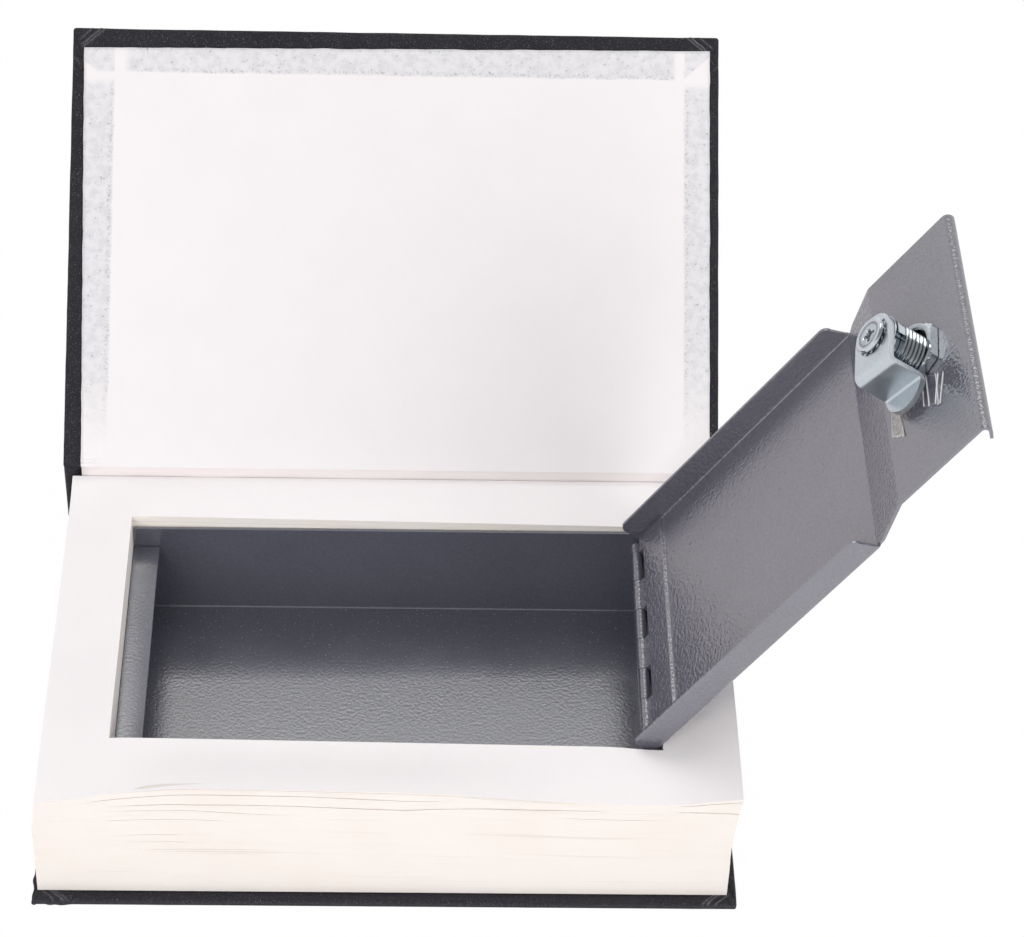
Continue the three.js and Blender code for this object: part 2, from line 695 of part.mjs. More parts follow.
// The plug turns in the barrel; its flatted tail carries the cam
function lockPlug() {
  const face = bezelOuter + plugRecess;
  const bodyEnd = barrelEnd - plugSetback;
  const tail = prismZ(flattedRound(tailDiameter, tailFlats), bodyEnd - cutMargin, camEnd - camClear);
  let plug = solid(disc(plugDiameter, face, bodyEnd)).add(solid(tail));
  const wide = keywayWidth / 2;
  const tall = keywayHeight / 2;
  plug = plug.subtract(solid(block(-wide, wide, -tall, tall, face - cutMargin, face + keywayDepth)));
  const half = waferWidth / 2 + waferClear;
  const pocketEnd = half + springDiameter + waferClear;
  const pocketHalf = springLength / 2 + waferClear;
  for (let i = 0; i < waferCount; i += 1) {
    const low = waferStart(i) - waferClear;
    const high = waferStart(i) + waferThick + waferClear;
    const slot = block(-half, half, -plugDiameter, plugDiameter, low, high);
    const pocket = block(half - cutMargin, pocketEnd, -pocketHalf, pocketHalf, low, high);
    plug = plug.subtract(solid(slot)).subtract(solid(pocket));
  }
  const holeStart = camEnd - camScrewLength - screwHoleSpare;
  const screwHole = disc(camScrewShank + 2 * camClear, holeStart, camEnd + cutMargin, smallRoundSteps);
  return geometry(plug.subtract(solid(screwHole)));
}

// Flat tumbler with its window, drawn flush with the plug as the key holds it
function wafer(i) {
  const low = waferStart(i);
  const high = low + waferThick;
  const plate = block(-waferWidth / 2, waferWidth / 2, -waferHeight / 2, waferHeight / 2, low, high);
  const wide = waferWindowWidth / 2;
  const tall = waferWindowHeight / 2;
  const window = block(-wide, wide, -tall, tall, low - cutMargin, high + cutMargin);
  return geometry(solid(plate).subtract(solid(window)));
}

// One small spring beside each wafer
function waferSpring(i) {
  const across = waferWidth / 2 + waferClear + springDiameter / 2;
  const spring = new THREE.CylinderGeometry(springDiameter / 2, springDiameter / 2, springLength, 8);
  return spring.translate(across, 0, waferStart(i) + waferThick / 2);
}

// Disc under the cam, with a lug that runs in the barrel's notch
function stopWasher() {
  const lugEnd = washerStart - stopLugReach;
  const top = washerStart + stopWasherThick;
  const plate = solid(disc(stopWasherDiameter, washerStart, top));
  const inner = plugDiameter / 2 + stopLugInset;
  const outer = stopWasherDiameter / 2 + cutMargin;
  const half = stopLugWidth / 2;
  const lug = block(inner, outer, -half, half, lugEnd, top - stopWasherThick / 2);
  const turn = THREE.MathUtils.degToRad(stopLugAngle - camRestTurn);
  const rounder = disc(stopWasherDiameter, lugEnd, top);
  const lugSolid = solid(lug.rotateZ(turn)).intersect(solid(rounder));
  const hole = prismZ(tailHole(), washerStart - cutMargin, top + cutMargin);
  return geometry(plate.add(lugSolid).subtract(solid(hole)));
}

// Hole that seats on the plug's flatted tail
function tailHole() {
  return flattedRound(tailDiameter + 2 * camClear, tailFlats + 2 * camClear);
}

// Cranked cam: flat at the screw, web bent back toward the lid, flat tip to hook the ledge.
// It is drawn along +x.
function lockCam() {
  const flat = (camStart + camEnd) / 2;
  const tip = flat - camDrop;
  const web = camWebReach - camThick / 2;
  const run = [
    new THREE.Vector2(-camWidth, flat),
    ...arcPoints(web - camBend, flat - camBend, camBend, Math.PI / 2, 0, bendSteps),
    ...arcPoints(web + camBend, tip + camBend, camBend, Math.PI, 1.5 * Math.PI, bendSteps),
    new THREE.Vector2(camTipReach + camWidth, tip),
  ];
  const folded = solid(prismY(strip(run, camThick), -camWidth, camWidth));
  const radius = camWidth / 2;
  const end = camTipReach - radius;
  const plan = new THREE.Shape([
    ...arcPoints(0, 0, radius, Math.PI / 2, 1.5 * Math.PI, smallRoundSteps),
    ...arcPoints(end, 0, radius, -Math.PI / 2, Math.PI / 2, smallRoundSteps),
  ]);
  const outline = solid(prismZ(plan, tip - camThick, flat + camThick));
  const hole = solid(prismZ(tailHole(), flat - camThick, flat + camThick + cutMargin));
  return geometry(folded.intersect(outline).subtract(hole));
}

// Toothed lock washer under the screw head
function camWasher() {
  const radius = camWasherDiameter / 2;
  const steps = camWasherTeeth * 4;
  const rim = Array.from({ length: steps }, (_, i) => {
    const angle = (2 * Math.PI * i) / steps;
    const reach = radius - (i % 4 < 2 ? 0 : camWasherToothDepth);
    return new THREE.Vector2(reach * Math.cos(angle), reach * Math.sin(angle));
  });
  const top = screwWasherStart + camWasherThick;
  const ring = prismZ(new THREE.Shape(rim), screwWasherStart, top);
  const holeDiameter = camScrewShank + 2 * camClear;
  const hole = disc(holeDiameter, screwWasherStart - cutMargin, top + cutMargin, smallRoundSteps);
  return geometry(solid(ring).subtract(solid(hole)));
}

// Flat-domed screw with a crossed recess
function camScrew() {
  const top = screwHeadStart + camScrewHeadHeight;
  const head = spun([
    new THREE.Vector2(0, camEnd - camScrewLength),
    new THREE.Vector2(camScrewShank / 2, camEnd - camScrewLength),
    new THREE.Vector2(camScrewShank / 2, screwHeadStart),
    new THREE.Vector2(camScrewHead / 2, screwHeadStart),
    new THREE.Vector2(camScrewHead / 2, top - camScrewEdge),
    new THREE.Vector2(camScrewHead / 2 - camScrewBevel, top - camScrewDome),
    new THREE.Vector2(0, top),
  ]);
  const long = recessLength / 2;
  const wide = recessWidth / 2;
  const low = top - recessDepth;
  const high = top + cutMargin;
  const across = block(-long, long, -wide, wide, low, high);
  const along = block(-wide, wide, -long, long, low, high);
  return geometry(solid(head).subtract(solid(across)).subtract(solid(along)));
}

// Paper glued inside the back cover, under the pages
function backEndpaper() {
  const across = halfLength - paperInset;
  const low = boardThick + glueGap;
  return block(-across, across, foreEdge + paperInset, blockBack, low, low + paperThick);
}

// Strip of lining glued down the back of the pages
function spineLining() {
  const across = blockLength / 2 - liningInset;
  const start = blockBack + glueGap;
  return block(blockOffset - across, blockOffset + across, start, start + liningThick,
    blockBottom + liningInset, pageTop - liningInset);
}

// The front cover is drawn closed, from its fold: inside down at z 0, fore-edge toward -y
const frontFore = -jointWidth - frontBoardDepth;

function frontPaper() {
  const outline = new THREE.Shape([
    new THREE.Vector2(-halfLength + borderHeadJoint, -paperFold),
    new THREE.Vector2(-halfLength + borderHeadFore, frontFore + borderForeHead),
    new THREE.Vector2(halfLength - borderTail, frontFore + borderForeTail),
    new THREE.Vector2(halfLength - borderTail, -paperFold),
  ]);
  return prismZ(outline, 0, paperThick);
}

// Bare cloth between the spine and the open front cover; it bends as the cover moves
function frontJointCloth() {
  const angle = -THREE.MathUtils.degToRad(coverOpenAngle);
  const half = clothThick / 2;
  const fold = new THREE.Vector2(coverHinge.y, coverHinge.z);
  const closed = new THREE.Vector2(-jointWidth + glueGap + half, coverThick - half);
  const end = closed.rotateAround(new THREE.Vector2(), angle).add(fold);
  const start = new THREE.Vector2(spineFace + boardThick - half, spineTop + jointGap);
  const bulge = start.clone().add(end).multiplyScalar(0.5).add(new THREE.Vector2(jointBulge, 0));
  const line = new THREE.QuadraticBezierCurve(start, bulge, end).getPoints(bendSteps);
  return prismX(strip(line, clothThick), -halfLength, halfLength);
}

const safe = new THREE.Group();
safe.add(piece('case_cloth', caseCloth(), 'cloth'));
safe.add(piece('back_board', boardShape(foreEdge, backBoardEnd, 0, 1), 'greyboard'));
safe.add(piece('spine_board', spineBoard(), 'greyboard'));
safe.add(piece('back_endpaper', backEndpaper(), 'paper'));
safe.add(piece('page_block', pageBlock(), 'pages'));
safe.add(piece('spine_lining', spineLining(), 'lining'));
safe.add(piece('front_joint_cloth', frontJointCloth(), 'cloth'));
safe.add(piece('steel_box', steelBox(), 'steel'));
safe.add(piece('latch_ledge', latchLedge(), 'ledge'));
safe.add(piece('box_hinge_leaf', boxHingeLeaf(), 'steel'));
safe.add(piece('hinge_pin', hingePin(), 'zinc'));

const frontCover = new THREE.Group();
frontCover.position.copy(coverHinge);
frontCover.rotation.x = -THREE.MathUtils.degToRad(coverOpenAngle);
frontCover.add(piece('front_cloth', geometry(clothRound(frontFore, -jointWidth, coverThick, -1)), 'cloth'));
frontCover.add(piece('front_board', boardShape(frontFore, -jointWidth, coverThick, -1), 'greyboard'));
frontCover.add(piece('front_endpaper', frontPaper(), 'paper'));
safe.add(frontCover);

const lid = new THREE.Group();
lid.position.set(hingeX, 0, hingeZ);
lid.rotation.y = -lidRise;
lid.add(piece('lid_panel', lidPanel(), 'lid'));
lid.add(piece('lid_hinge_leaf', lidHingeLeaf(), 'lid'));
safe.add(lid);

const lock = new THREE.Group();
lock.position.set(lockAlong, lockAcross, 0);
lock.add(piece('lock_barrel', lockBarrel(), 'zinc'));
lock.add(piece('lock_nut', lockNut(), 'zinc'));
lid.add(lock);

// What turns with the key
const turning = new THREE.Group();
turning.rotation.z = THREE.MathUtils.degToRad(camRestTurn);
turning.add(piece('lock_plug', lockPlug(), 'brass'));
for (let i = 0; i < waferCount; i += 1) {
  turning.add(piece(`wafer_${i + 1}`, wafer(i), 'brass'));
  turning.add(piece(`wafer_spring_${i + 1}`, waferSpring(i), 'zinc'));
}
turning.add(piece('stop_washer', stopWasher(), 'zinc'));
turning.add(piece('lock_cam', lockCam(), 'zinc'));
turning.add(piece('cam_washer', camWasher(), 'zinc'));
turning.add(piece('cam_screw', camScrew(), 'zinc'));
lock.add(turning);

export default safe;
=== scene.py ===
import json
import math

import bmesh
import bpy
import numpy as np
from mathutils import Matrix, Vector, noise
from mathutils.bvhtree import BVHTree


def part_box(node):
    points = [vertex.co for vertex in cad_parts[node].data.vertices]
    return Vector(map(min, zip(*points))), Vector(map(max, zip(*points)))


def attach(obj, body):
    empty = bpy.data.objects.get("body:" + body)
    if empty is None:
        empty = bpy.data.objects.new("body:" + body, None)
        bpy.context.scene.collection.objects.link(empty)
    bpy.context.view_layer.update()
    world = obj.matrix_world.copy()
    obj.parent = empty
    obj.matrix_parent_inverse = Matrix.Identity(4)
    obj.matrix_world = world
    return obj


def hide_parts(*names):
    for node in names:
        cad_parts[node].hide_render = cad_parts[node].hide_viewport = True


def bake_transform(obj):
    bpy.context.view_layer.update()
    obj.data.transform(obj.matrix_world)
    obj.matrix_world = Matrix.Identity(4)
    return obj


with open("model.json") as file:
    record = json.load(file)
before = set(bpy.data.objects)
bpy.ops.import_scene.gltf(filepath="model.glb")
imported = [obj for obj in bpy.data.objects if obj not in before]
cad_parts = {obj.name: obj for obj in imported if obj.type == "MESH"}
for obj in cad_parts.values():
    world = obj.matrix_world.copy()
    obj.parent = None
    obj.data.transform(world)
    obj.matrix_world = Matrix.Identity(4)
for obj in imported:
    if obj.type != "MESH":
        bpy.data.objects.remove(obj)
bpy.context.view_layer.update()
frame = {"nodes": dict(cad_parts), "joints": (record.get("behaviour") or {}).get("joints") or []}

MM = 0.001
HINGES = {joint["name"]: joint for joint in frame["joints"]}

# How far the cover, the lid and the cam stand open in the photograph
COVER_OPEN = math.radians(139.8)
LID_OPEN = math.radians(124)
CAM_TURN = math.radians(-100)

# Where the moving groups stand, each with its own axes along its own shape
COVER = Matrix.Translation(HINGES["front_cover_hinge"]["pos_m"]) @ Matrix.Rotation(-COVER_OPEN, 4, "X")
LID = Matrix.Translation(HINGES["lid_hinge"]["pos_m"]) @ Matrix.Rotation(LID_OPEN - math.pi, 4, "Y")
LOCK = Matrix.Translation(HINGES["cam_turn"]["pos_m"]) @ Matrix.Rotation(LID_OPEN - math.pi, 4, "Y")
CAM = LOCK @ Matrix.Rotation(CAM_TURN, 4, "Z")
BOOK = Matrix.Identity(4)


def points_in(place, node):
    """The points of a CAD node, measured along a group's own axes."""
    back = place.inverted()
    return np.array([back @ v.co for v in frame["nodes"][node].data.vertices])


def box_in(place, node):
    """Lowest and highest corner of a CAD node, measured along a group's own axes."""
    points = points_in(place, node)
    return Vector(points.min(0)), Vector(points.max(0))


def smooth(start, end, value):
    """0 before the start, 1 past the end, and eased between them."""
    share = min(max((value - start) / (end - start), 0.0), 1.0)
    return share * share * (3 - 2 * share)


def between(low, high, step):
    """Positions from low to high, about a step apart."""
    count = max(1, round((high - low) / step))
    return [low + (high - low) * k / count for k in range(count + 1)]


def through(marks, step):
    """Positions from the first mark to the last, about a step apart, and where the marks lie."""
    places = marks[:1]
    found = []
    for mark in marks[1:]:
        places += between(places[-1], mark, step)[1:]
        found.append(len(places) - 1)
    return places, found


def circle(radius, offset):
    """Half the width of a circle at an offset from its centre, and 0 beyond it."""
    return math.sqrt(max(0.0, radius ** 2 - offset ** 2))


def uneven(point, size, depth):
    """Gentle unevenness, the same on every run."""
    return depth * noise.noise(point / size)


def ridge(distance, width, height):
    """A rounded ridge: its height at a distance from its line."""
    return height * math.exp(-((distance / width) ** 2))


# Camera and light

def make_camera():
    """The photograph's viewpoint: a long lens above the fore-edge, looking down at the spine."""
    position = Vector((6.198, -799.083, 875.119)) * MM
    pan, tilt, roll = 0.043, 0.751, 0.041
    focal_pixels = 3286.456
    image_width = 1024
    sensor = 36.0
    forward = Vector((
        math.sin(pan) * math.cos(tilt),
        math.cos(pan) * math.cos(tilt),
        -math.sin(tilt),
    ))
    level = Vector((math.cos(pan), -math.sin(pan), 0))
    upright = level.cross(forward)
    right = math.cos(roll) * level + math.sin(roll) * upright
    up = -math.sin(roll) * level + math.cos(roll) * upright
    data = bpy.data.cameras.new("camera")
    data.sensor_width = sensor
    data.lens = focal_pixels * sensor / image_width
    data.clip_end = 20
    camera = bpy.data.objects.new("camera", data)
    turn = Matrix((right, up, -forward)).transposed().to_4x4()
    camera.matrix_world = Matrix.Translation(position) @ turn
    bpy.context.scene.collection.objects.link(camera)
    bpy.context.scene.camera = camera


def softbox(name, place, width, height, power, mirrored):
    """A soft lamp. One that isn't mirrored gives light, but makes no bright patch on gloss."""
    target = Vector((0.02, 0.0, 0.05))
    data = bpy.data.lights.new(name, "AREA")
    data.shape = "RECTANGLE"
    data.size = width
    data.size_y = height
    data.energy = power
    lamp = bpy.data.objects.new(name, data)
    lamp.location = place
    lamp.rotation_euler = (target - Vector(place)).to_track_quat("-Z", "Y").to_euler()
    lamp.visible_glossy = mirrored
    bpy.context.scene.collection.objects.link(lamp)


def seen_directly(tree):
    """1 for rays that show the background itself: from the camera, off gloss or through glass."""
    path = tree.nodes.new("ShaderNodeLightPath")
    total = path.outputs["Is Camera Ray"]
    for name in ("Is Glossy Ray", "Is Transmission Ray"):
        largest = tree.nodes.new("ShaderNodeMath")
        largest.operation = "MAXIMUM"
        tree.links.new(total, largest.inputs[0])
        tree.links.new(path.outputs[name], largest.inputs[1])
        total = largest.outputs[0]
    return total


def make_world():
    """White surroundings, greyer overhead, that light the object at a plain level."""
    ambient = 0.57
    shade_curve = {"From Min": 0.35, "From Max": 0.8, "To Min": 1.0, "To Max": 0.3}
    world = bpy.data.worlds.new("studio")
    bpy.context.scene.world = world
    world.use_nodes = True
    tree = world.node_tree
    direction = tree.nodes.new("ShaderNodeSeparateXYZ")
    tree.links.new(tree.nodes.new("ShaderNodeTexCoord").outputs["Generated"], direction.inputs[0])
    shade = tree.nodes.new("ShaderNodeMapRange")
    shade.interpolation_type = "SMOOTHSTEP"
    for name, value in shade_curve.items():
        shade.inputs[name].default_value = value
    tree.links.new(direction.outputs["Z"], shade.inputs["Value"])
    strength = tree.nodes.new("ShaderNodeMapRange")
    strength.inputs["To Min"].default_value = ambient
    tree.links.new(shade.outputs[0], strength.inputs["To Max"])
    tree.links.new(seen_directly(tree), strength.inputs["Value"])
    background = tree.nodes["Background"]
    background.inputs["Color"].default_value = (1, 1, 1, 1)
    tree.links.new(strength.outputs[0], background.inputs["Strength"])


def make_floor():
    """A pale floor that keeps a faint shadow."""
    half = 3.0
    glow_share = 0.985
    mesh = bpy.data.meshes.new("floor")
    corners = [(-half, -half, 0), (half, -half, 0), (half, half, 0), (-half, half, 0)]
    mesh.from_pydata(corners, [], [(0, 1, 2, 3)])
    floor = bpy.data.objects.new("floor", mesh)
    bpy.context.scene.collection.objects.link(floor)
    material = bpy.data.materials.new("floor")
    material.use_nodes = True
    tree = material.node_tree
    shader = tree.nodes["Principled BSDF"]
    shader.inputs["Base Color"].default_value = (0.95, 0.95, 0.95, 1)
    shader.inputs["Roughness"].default_value = 1.0
    shader.inputs["Specular IOR Level"].default_value = 0.0
    glow = tree.nodes.new("ShaderNodeEmission")
    mix = tree.nodes.new("ShaderNodeMixShader")
    share = tree.nodes.new("ShaderNodeMath")
    share.operation = "MULTIPLY"
    share.inputs[1].default_value = glow_share
    tree.links.new(seen_directly(tree), share.inputs[0])
    tree.links.new(share.outputs[0], mix.inputs[0])
    tree.links.new(shader.outputs[0], mix.inputs[1])
    tree.links.new(glow.outputs[0], mix.inputs[2])
    tree.links.new(mix.outputs[0], tree.nodes["Material Output"].inputs["Surface"])
    mesh.materials.append(material)


def make_lamps():
    softbox("key", (-0.7, -1.4, 0.9), 1.0, 1.0, 12.0, mirrored=False)
    softbox("fill", (1.1, -1.2, 0.7), 0.9, 0.9, 9.0, mirrored=False)
    softbox("overhead", (0.1, 0.9, 1.6), 1.2, 0.8, 7.0, mirrored=True)


# Materials. Each pair is the two colours that a surface's clouding goes between.

PAPER = (0.935, 0.9, 0.903), (0.925, 0.89, 0.895)
PASTEDOWN = (0.855, 0.82, 0.826), (0.843, 0.808, 0.816)
# Painted shade: the gutter fold is the same end paper as the pastedown, darkened because its steep face
# catches more light.
GUTTER_SHADED = (0.8, 0.75, 0.745), (0.79, 0.735, 0.727)
PAGE_EDGES = (0.782, 0.724, 0.68), (0.796, 0.745, 0.71)
# Painted light: the window's walls are the same cut page edges, made lighter because they stand in shade.
WINDOW_EDGES_LIT = (0.96, 0.9, 0.84), (0.97, 0.93, 0.89)
# The box and the lid wear the same powder coat: the box's pair is darker as painted shade and the lid's
# lighter as painted light, for how much light reaches each.
BOX_GREY_SHADED = (0.081, 0.083, 0.11), (0.096, 0.098, 0.129)
LID_GREY_LIT = (0.106, 0.103, 0.131), (0.127, 0.124, 0.157)
TAPE_BROWN = (0.26, 0.24, 0.235), (0.42, 0.39, 0.37)

# Lowest and highest roughness of each finish. None crosses 0.27, where the render's noise filter
# would leave an outline.
BOX_GLOSS = 0.2, 0.26
LID_GLOSS = 0.16, 0.22
BRIGHT_ZINC = 0.12, 0.2
WORN_ZINC = 0.285, 0.34


class Look:
    """A node material in the making. Its patterns lie along the piece's own axes."""

    def __init__(self, name, roughness=0.5, metallic=0.0, specular=0.5):
        self.material = bpy.data.materials.new(name)
        self.material.use_nodes = True
        self.tree = self.material.node_tree
        self.shader = self.tree.nodes["Principled BSDF"]
        self.shader.inputs["Roughness"].default_value = roughness
        self.shader.inputs["Metallic"].default_value = metallic
        self.shader.inputs["Specular IOR Level"].default_value = specular
        self.place = self.node("ShaderNodeTexCoord").outputs["Object"]

    def feed(self, socket, value):
        if isinstance(value, bpy.types.NodeSocket):
            self.tree.links.new(value, socket)
        else:
            socket.default_value = value

    def node(self, kind, feeds=(), **settings):
        made = self.tree.nodes.new(kind)
        for name, value in settings.items():
            setattr(made, name, value)
        for name, value in dict(feeds).items():
            self.feed(made.inputs[name], value)
        return made

    def attribute(self, name):
        """A value that the mesh carries at each point."""
        return self.node("ShaderNodeAttribute", attribute_name=name).outputs["Fac"]

    def stretched(self, x, y, z):
        """The piece's own coordinates, scaled along each axis."""
        feeds = {"Vector": self.place, "Scale": (x, y, z)}
        return self.node("ShaderNodeMapping", feeds).outputs[0]

    def noise(self, size, detail=2.0, rough=0.5, place=None):
        """Soft blotches about this many metres across."""
        feeds = {"Vector": place or self.place, "Scale": 1 / size, "Detail": detail, "Roughness": rough}
        return self.node("ShaderNodeTexNoise", feeds).outputs["Fac"]

    def cells(self, size):
        """Pebbles about this many metres across."""
        feeds = {"Vector": self.place, "Scale": 1 / size}
        return self.node("ShaderNodeTexVoronoi", feeds).outputs["Distance"]

    def range(self, value, low, high, start=0.0, end=1.0):
        """Goes from start to end as the value goes from low to high."""
        feeds = {"Value": value, "From Min": low, "From Max": high, "To Min": start, "To Max": end}
        return self.node("ShaderNodeMapRange", feeds, interpolation_type="SMOOTHSTEP").outputs[0]

    def math(self, operation, first, second):
        made = self.node("ShaderNodeMath", operation=operation)
        self.feed(made.inputs[0], first)
        self.feed(made.inputs[1], second)
        return made.outputs[0]

    def joined(self, operation, *values):
        total = values[0]
        for value in values[1:]:
            total = self.math(operation, total, value)
        return total

    def product(self, *values):
        return self.joined("MULTIPLY", *values)

    def largest(self, *values):
        return self.joined("MAXIMUM", *values)

    def blend(self, share, first, second):
        """A colour between two, as far toward the second as the share says."""
        made = self.node("ShaderNodeMix", data_type="RGBA")
        self.feed(made.inputs["Factor"], share)
        for socket, value in ((made.inputs["A"], first), (made.inputs["B"], second)):
            colours = [s for s in made.inputs if s.name == socket.name and s.type == "RGBA"]
            self.feed(colours[0], value if isinstance(value, bpy.types.NodeSocket) else (*value, 1.0))
        return [s for s in made.outputs if s.type == "RGBA"][0]

    def axes(self):
        split = self.node("ShaderNodeSeparateXYZ", {"Vector": self.place})
        return split.outputs["X"], split.outputs["Y"], split.outputs["Z"]

    def colour(self, value):
        self.feed(self.shader.inputs["Base Color"], value)

    def rough(self, value):
        self.feed(self.shader.inputs["Roughness"], value)

    def bump(self, height, depth):
        """Adds relief this many metres deep over what is there already."""
        made = self.node("ShaderNodeBump", {"Height": height, "Distance": depth, "Strength": 1.0})
        socket = self.shader.inputs["Normal"]
        if socket.links:
            self.feed(made.inputs["Normal"], socket.links[0].from_socket)
        self.feed(socket, made.outputs[0])


def make_cloth():
    """Black imitation leather: fine pebble grain, a dull sheen, rubbed creases and scattered lint."""
    look = Look("cover_cloth", specular=0.22)
    grain = look.cells(0.5 * MM)
    fine = look.noise(0.25 * MM, detail=3)
    drift = look.noise(14 * MM, detail=3)
    speck = look.range(look.noise(0.34 * MM, detail=1), 0.6, 0.72)
    lint = look.range(look.noise(0.3 * MM, detail=0), 0.77, 0.8)
    lint = look.product(lint, look.range(look.noise(4 * MM), 0.42, 0.6), 0.6)
    rubbed = look.product(look.attribute("wear"), look.range(fine, 0.35, 0.6))
    base = look.blend(drift, (0.0135, 0.0128, 0.017), (0.0265, 0.025, 0.032))
    base = look.blend(look.product(speck, 0.8), base, (0.1, 0.096, 0.1))
    base = look.blend(rubbed, base, (0.22, 0.215, 0.22))
    look.colour(look.blend(lint, base, (0.42, 0.4, 0.36)))
    look.rough(look.range(drift, 0.2, 0.8, 0.48, 0.66))
    look.bump(grain, 0.1 * MM)
    look.bump(fine, 0.04 * MM)
    return look.material


def make_greyboard():
    """Matte board of the covers, flecked grey."""
    look = Look("greyboard", roughness=0.95, specular=0.2)
    fleck = look.noise(0.8 * MM, detail=4)
    look.colour(look.blend(fleck, (0.2, 0.18, 0.15), (0.36, 0.33, 0.29)))
    look.bump(fleck, 0.06 * MM)
    return look.material


def make_paper(name, colours):
    """Smooth white paper with a faint cloudiness."""
    look = Look(name, roughness=0.85, specular=0.25)
    cloud = look.noise(22 * MM, detail=3)
    fibre = look.noise(0.5 * MM, detail=3)
    look.colour(look.blend(look.range(cloud, 0.3, 0.7), *colours))
    look.bump(fibre, 0.012 * MM)
    return look.material


def make_page_edges(name, colours):
    """Cut edges of the leaves: cream, with fine lines that follow each leaf."""
    look = Look(name, roughness=0.9, specular=0.2)
    x, y, _ = look.axes()
    along = 0.012
    run = look.node("ShaderNodeCombineXYZ", {
        "X": look.math("MULTIPLY", x, along),
        "Y": look.math("MULTIPLY", y, along),
        "Z": look.attribute("leaf"),
    }).outputs[0]
    coarse = look.noise(1.3 * MM, detail=2, place=run)
    fine = look.noise(0.3 * MM, detail=2, place=run)
    blotch = look.noise(30 * MM, detail=2)
    base = look.blend(look.range(blotch, 0.3, 0.7), *colours)
    base = look.blend(look.range(coarse, 0.62, 0.78, 0, 0.55), base, (0.6, 0.54, 0.49))
    base = look.blend(look.range(fine, 0.6, 0.8, 0, 0.3), base, (0.66, 0.6, 0.55))
    look.colour(base)
    look.bump(fine, 0.05 * MM)
    look.bump(coarse, 0.1 * MM)
    return look.material


def make_pastedown():
    """The paper inside the front cover. Over the cloth's turned-in edges its glue shows grey."""
    look = Look("pastedown", roughness=0.85, specular=0.25)
    low, high = box_in(COVER, "front_cloth")
    head_band, fore_band, tail_band = 15.6 * MM, 16.4 * MM, 12.8 * MM
    bare_head, bare_tail = 20.5 * MM, 16.5 * MM
    x, y, _ = look.axes()
    wobble = look.math("MULTIPLY", look.math("SUBTRACT", look.noise(9 * MM, detail=3), 0.5), 0.9 * MM)
    from_head = look.math("ADD", look.math("SUBTRACT", x, low.x), wobble)
    from_tail = look.math("ADD", look.math("SUBTRACT", high.x, x), wobble)
    from_fore = look.math("ADD", look.math("SUBTRACT", y, low.y), wobble)
    soft = 0.6 * MM

    def inside(distance, limit, fade=soft):
        return look.range(distance, limit + fade, limit - fade)

    def beyond(distance, limit, fade=soft):
        return look.range(distance, limit - fade, limit + fade)

    # The bands of turned-in cloth along three sides, and what shows of them in the two corners
    fore = look.product(
        inside(from_fore, fore_band), beyond(from_head, bare_head, 2 * MM),
        beyond(from_tail, bare_tail, MM))
    fade_out = inside(from_fore, 140 * MM, 22 * MM)
    head = look.product(inside(from_head, head_band), beyond(from_fore, 21 * MM, 2.5 * MM), fade_out)
    tail = look.product(inside(from_tail, tail_band), beyond(from_fore, 20 * MM, 3 * MM), fade_out)
    head_mitre = look.math("SUBTRACT", from_fore, look.math("MULTIPLY", from_head, 0.8))
    head_corner = look.product(
        inside(from_head, head_band), inside(from_fore, fore_band), inside(head_mitre, 9 * MM, MM))
    tail_mitre = look.math("SUBTRACT", from_fore, look.math("MULTIPLY", from_tail, 0.9))
    tail_corner = look.product(
        inside(from_tail, tail_band), inside(from_fore, fore_band), inside(tail_mitre, 4.4 * MM, 0.3 * MM))
    band = look.largest(fore, head, tail, head_corner, tail_corner)
    rim = look.largest(
        look.product(head, beyond(from_head, head_band - 1.6 * MM)),
        look.product(fore, beyond(from_fore, fore_band - 1.4 * MM)),
        look.product(tail, beyond(from_tail, tail_band - 1.4 * MM)))

    cloud = look.noise(22 * MM, detail=3)
    mottle = look.noise(3.4 * MM, detail=4, rough=0.62)
    fleck = look.noise(0.9 * MM, detail=2, rough=0.6)
    base = look.blend(look.range(cloud, 0.3, 0.7), *PASTEDOWN)
    tone = look.blend(look.range(mottle, 0.38, 0.64), (0.75, 0.735, 0.755), (0.66, 0.65, 0.675))
    base = look.blend(look.product(band, 0.92), base, tone)
    dark = look.product(band, look.range(fleck, 0.62, 0.7), look.range(mottle, 0.4, 0.6))
    base = look.blend(look.product(dark, 0.8), base, (0.3, 0.295, 0.31))
    rim = look.product(rim, look.range(fleck, 0.5, 0.62), 0.6)
    look.colour(look.blend(rim, base, (0.46, 0.45, 0.47)))
    look.bump(look.product(band, mottle), 0.12 * MM)
    look.bump(look.noise(0.5 * MM, detail=3), 0.012 * MM)
    return look.material


def make_paint(name, colours, roughness, peel_depth, dust):
    """Grey powder coat: soft orange peel, with painted shade in its hollows and painted light on its
    crests, slight clouding and a little dust.
    """
    look = Look(name, specular=1.0)
    look.shader.inputs["IOR"].default_value = 1.8
    peel = look.noise(1.15 * MM, detail=1.4, rough=0.4)
    cloud = look.noise(28 * MM, detail=3)
    fine = look.noise(0.5 * MM, detail=2)
    # Painted shade and light: the colour darkens in the orange peel's hollows and lightens on its crests.
    peel_shade = look.range(peel, 0.36, 0.64, 0, 0.5)
    cloud_tone = look.range(cloud, 0.3, 0.7, 0, 0.5)
    base = look.blend(look.math("ADD", peel_shade, cloud_tone), *colours)
    specks = look.product(look.range(look.noise(0.5 * MM, detail=0), 0.80, 0.83), dust(look))
    look.colour(look.blend(specks, base, (0.66, 0.62, 0.52)))
    look.rough(look.range(cloud, 0.25, 0.75, *roughness))
    look.bump(peel, peel_depth)
    look.bump(fine, 0.01 * MM)
    return look.material


def even_dust(amount):
    """Dust in loose patches all over."""
    def dust(look):
        return look.product(look.range(look.noise(6 * MM), 0.5, 0.6), amount)
    return dust


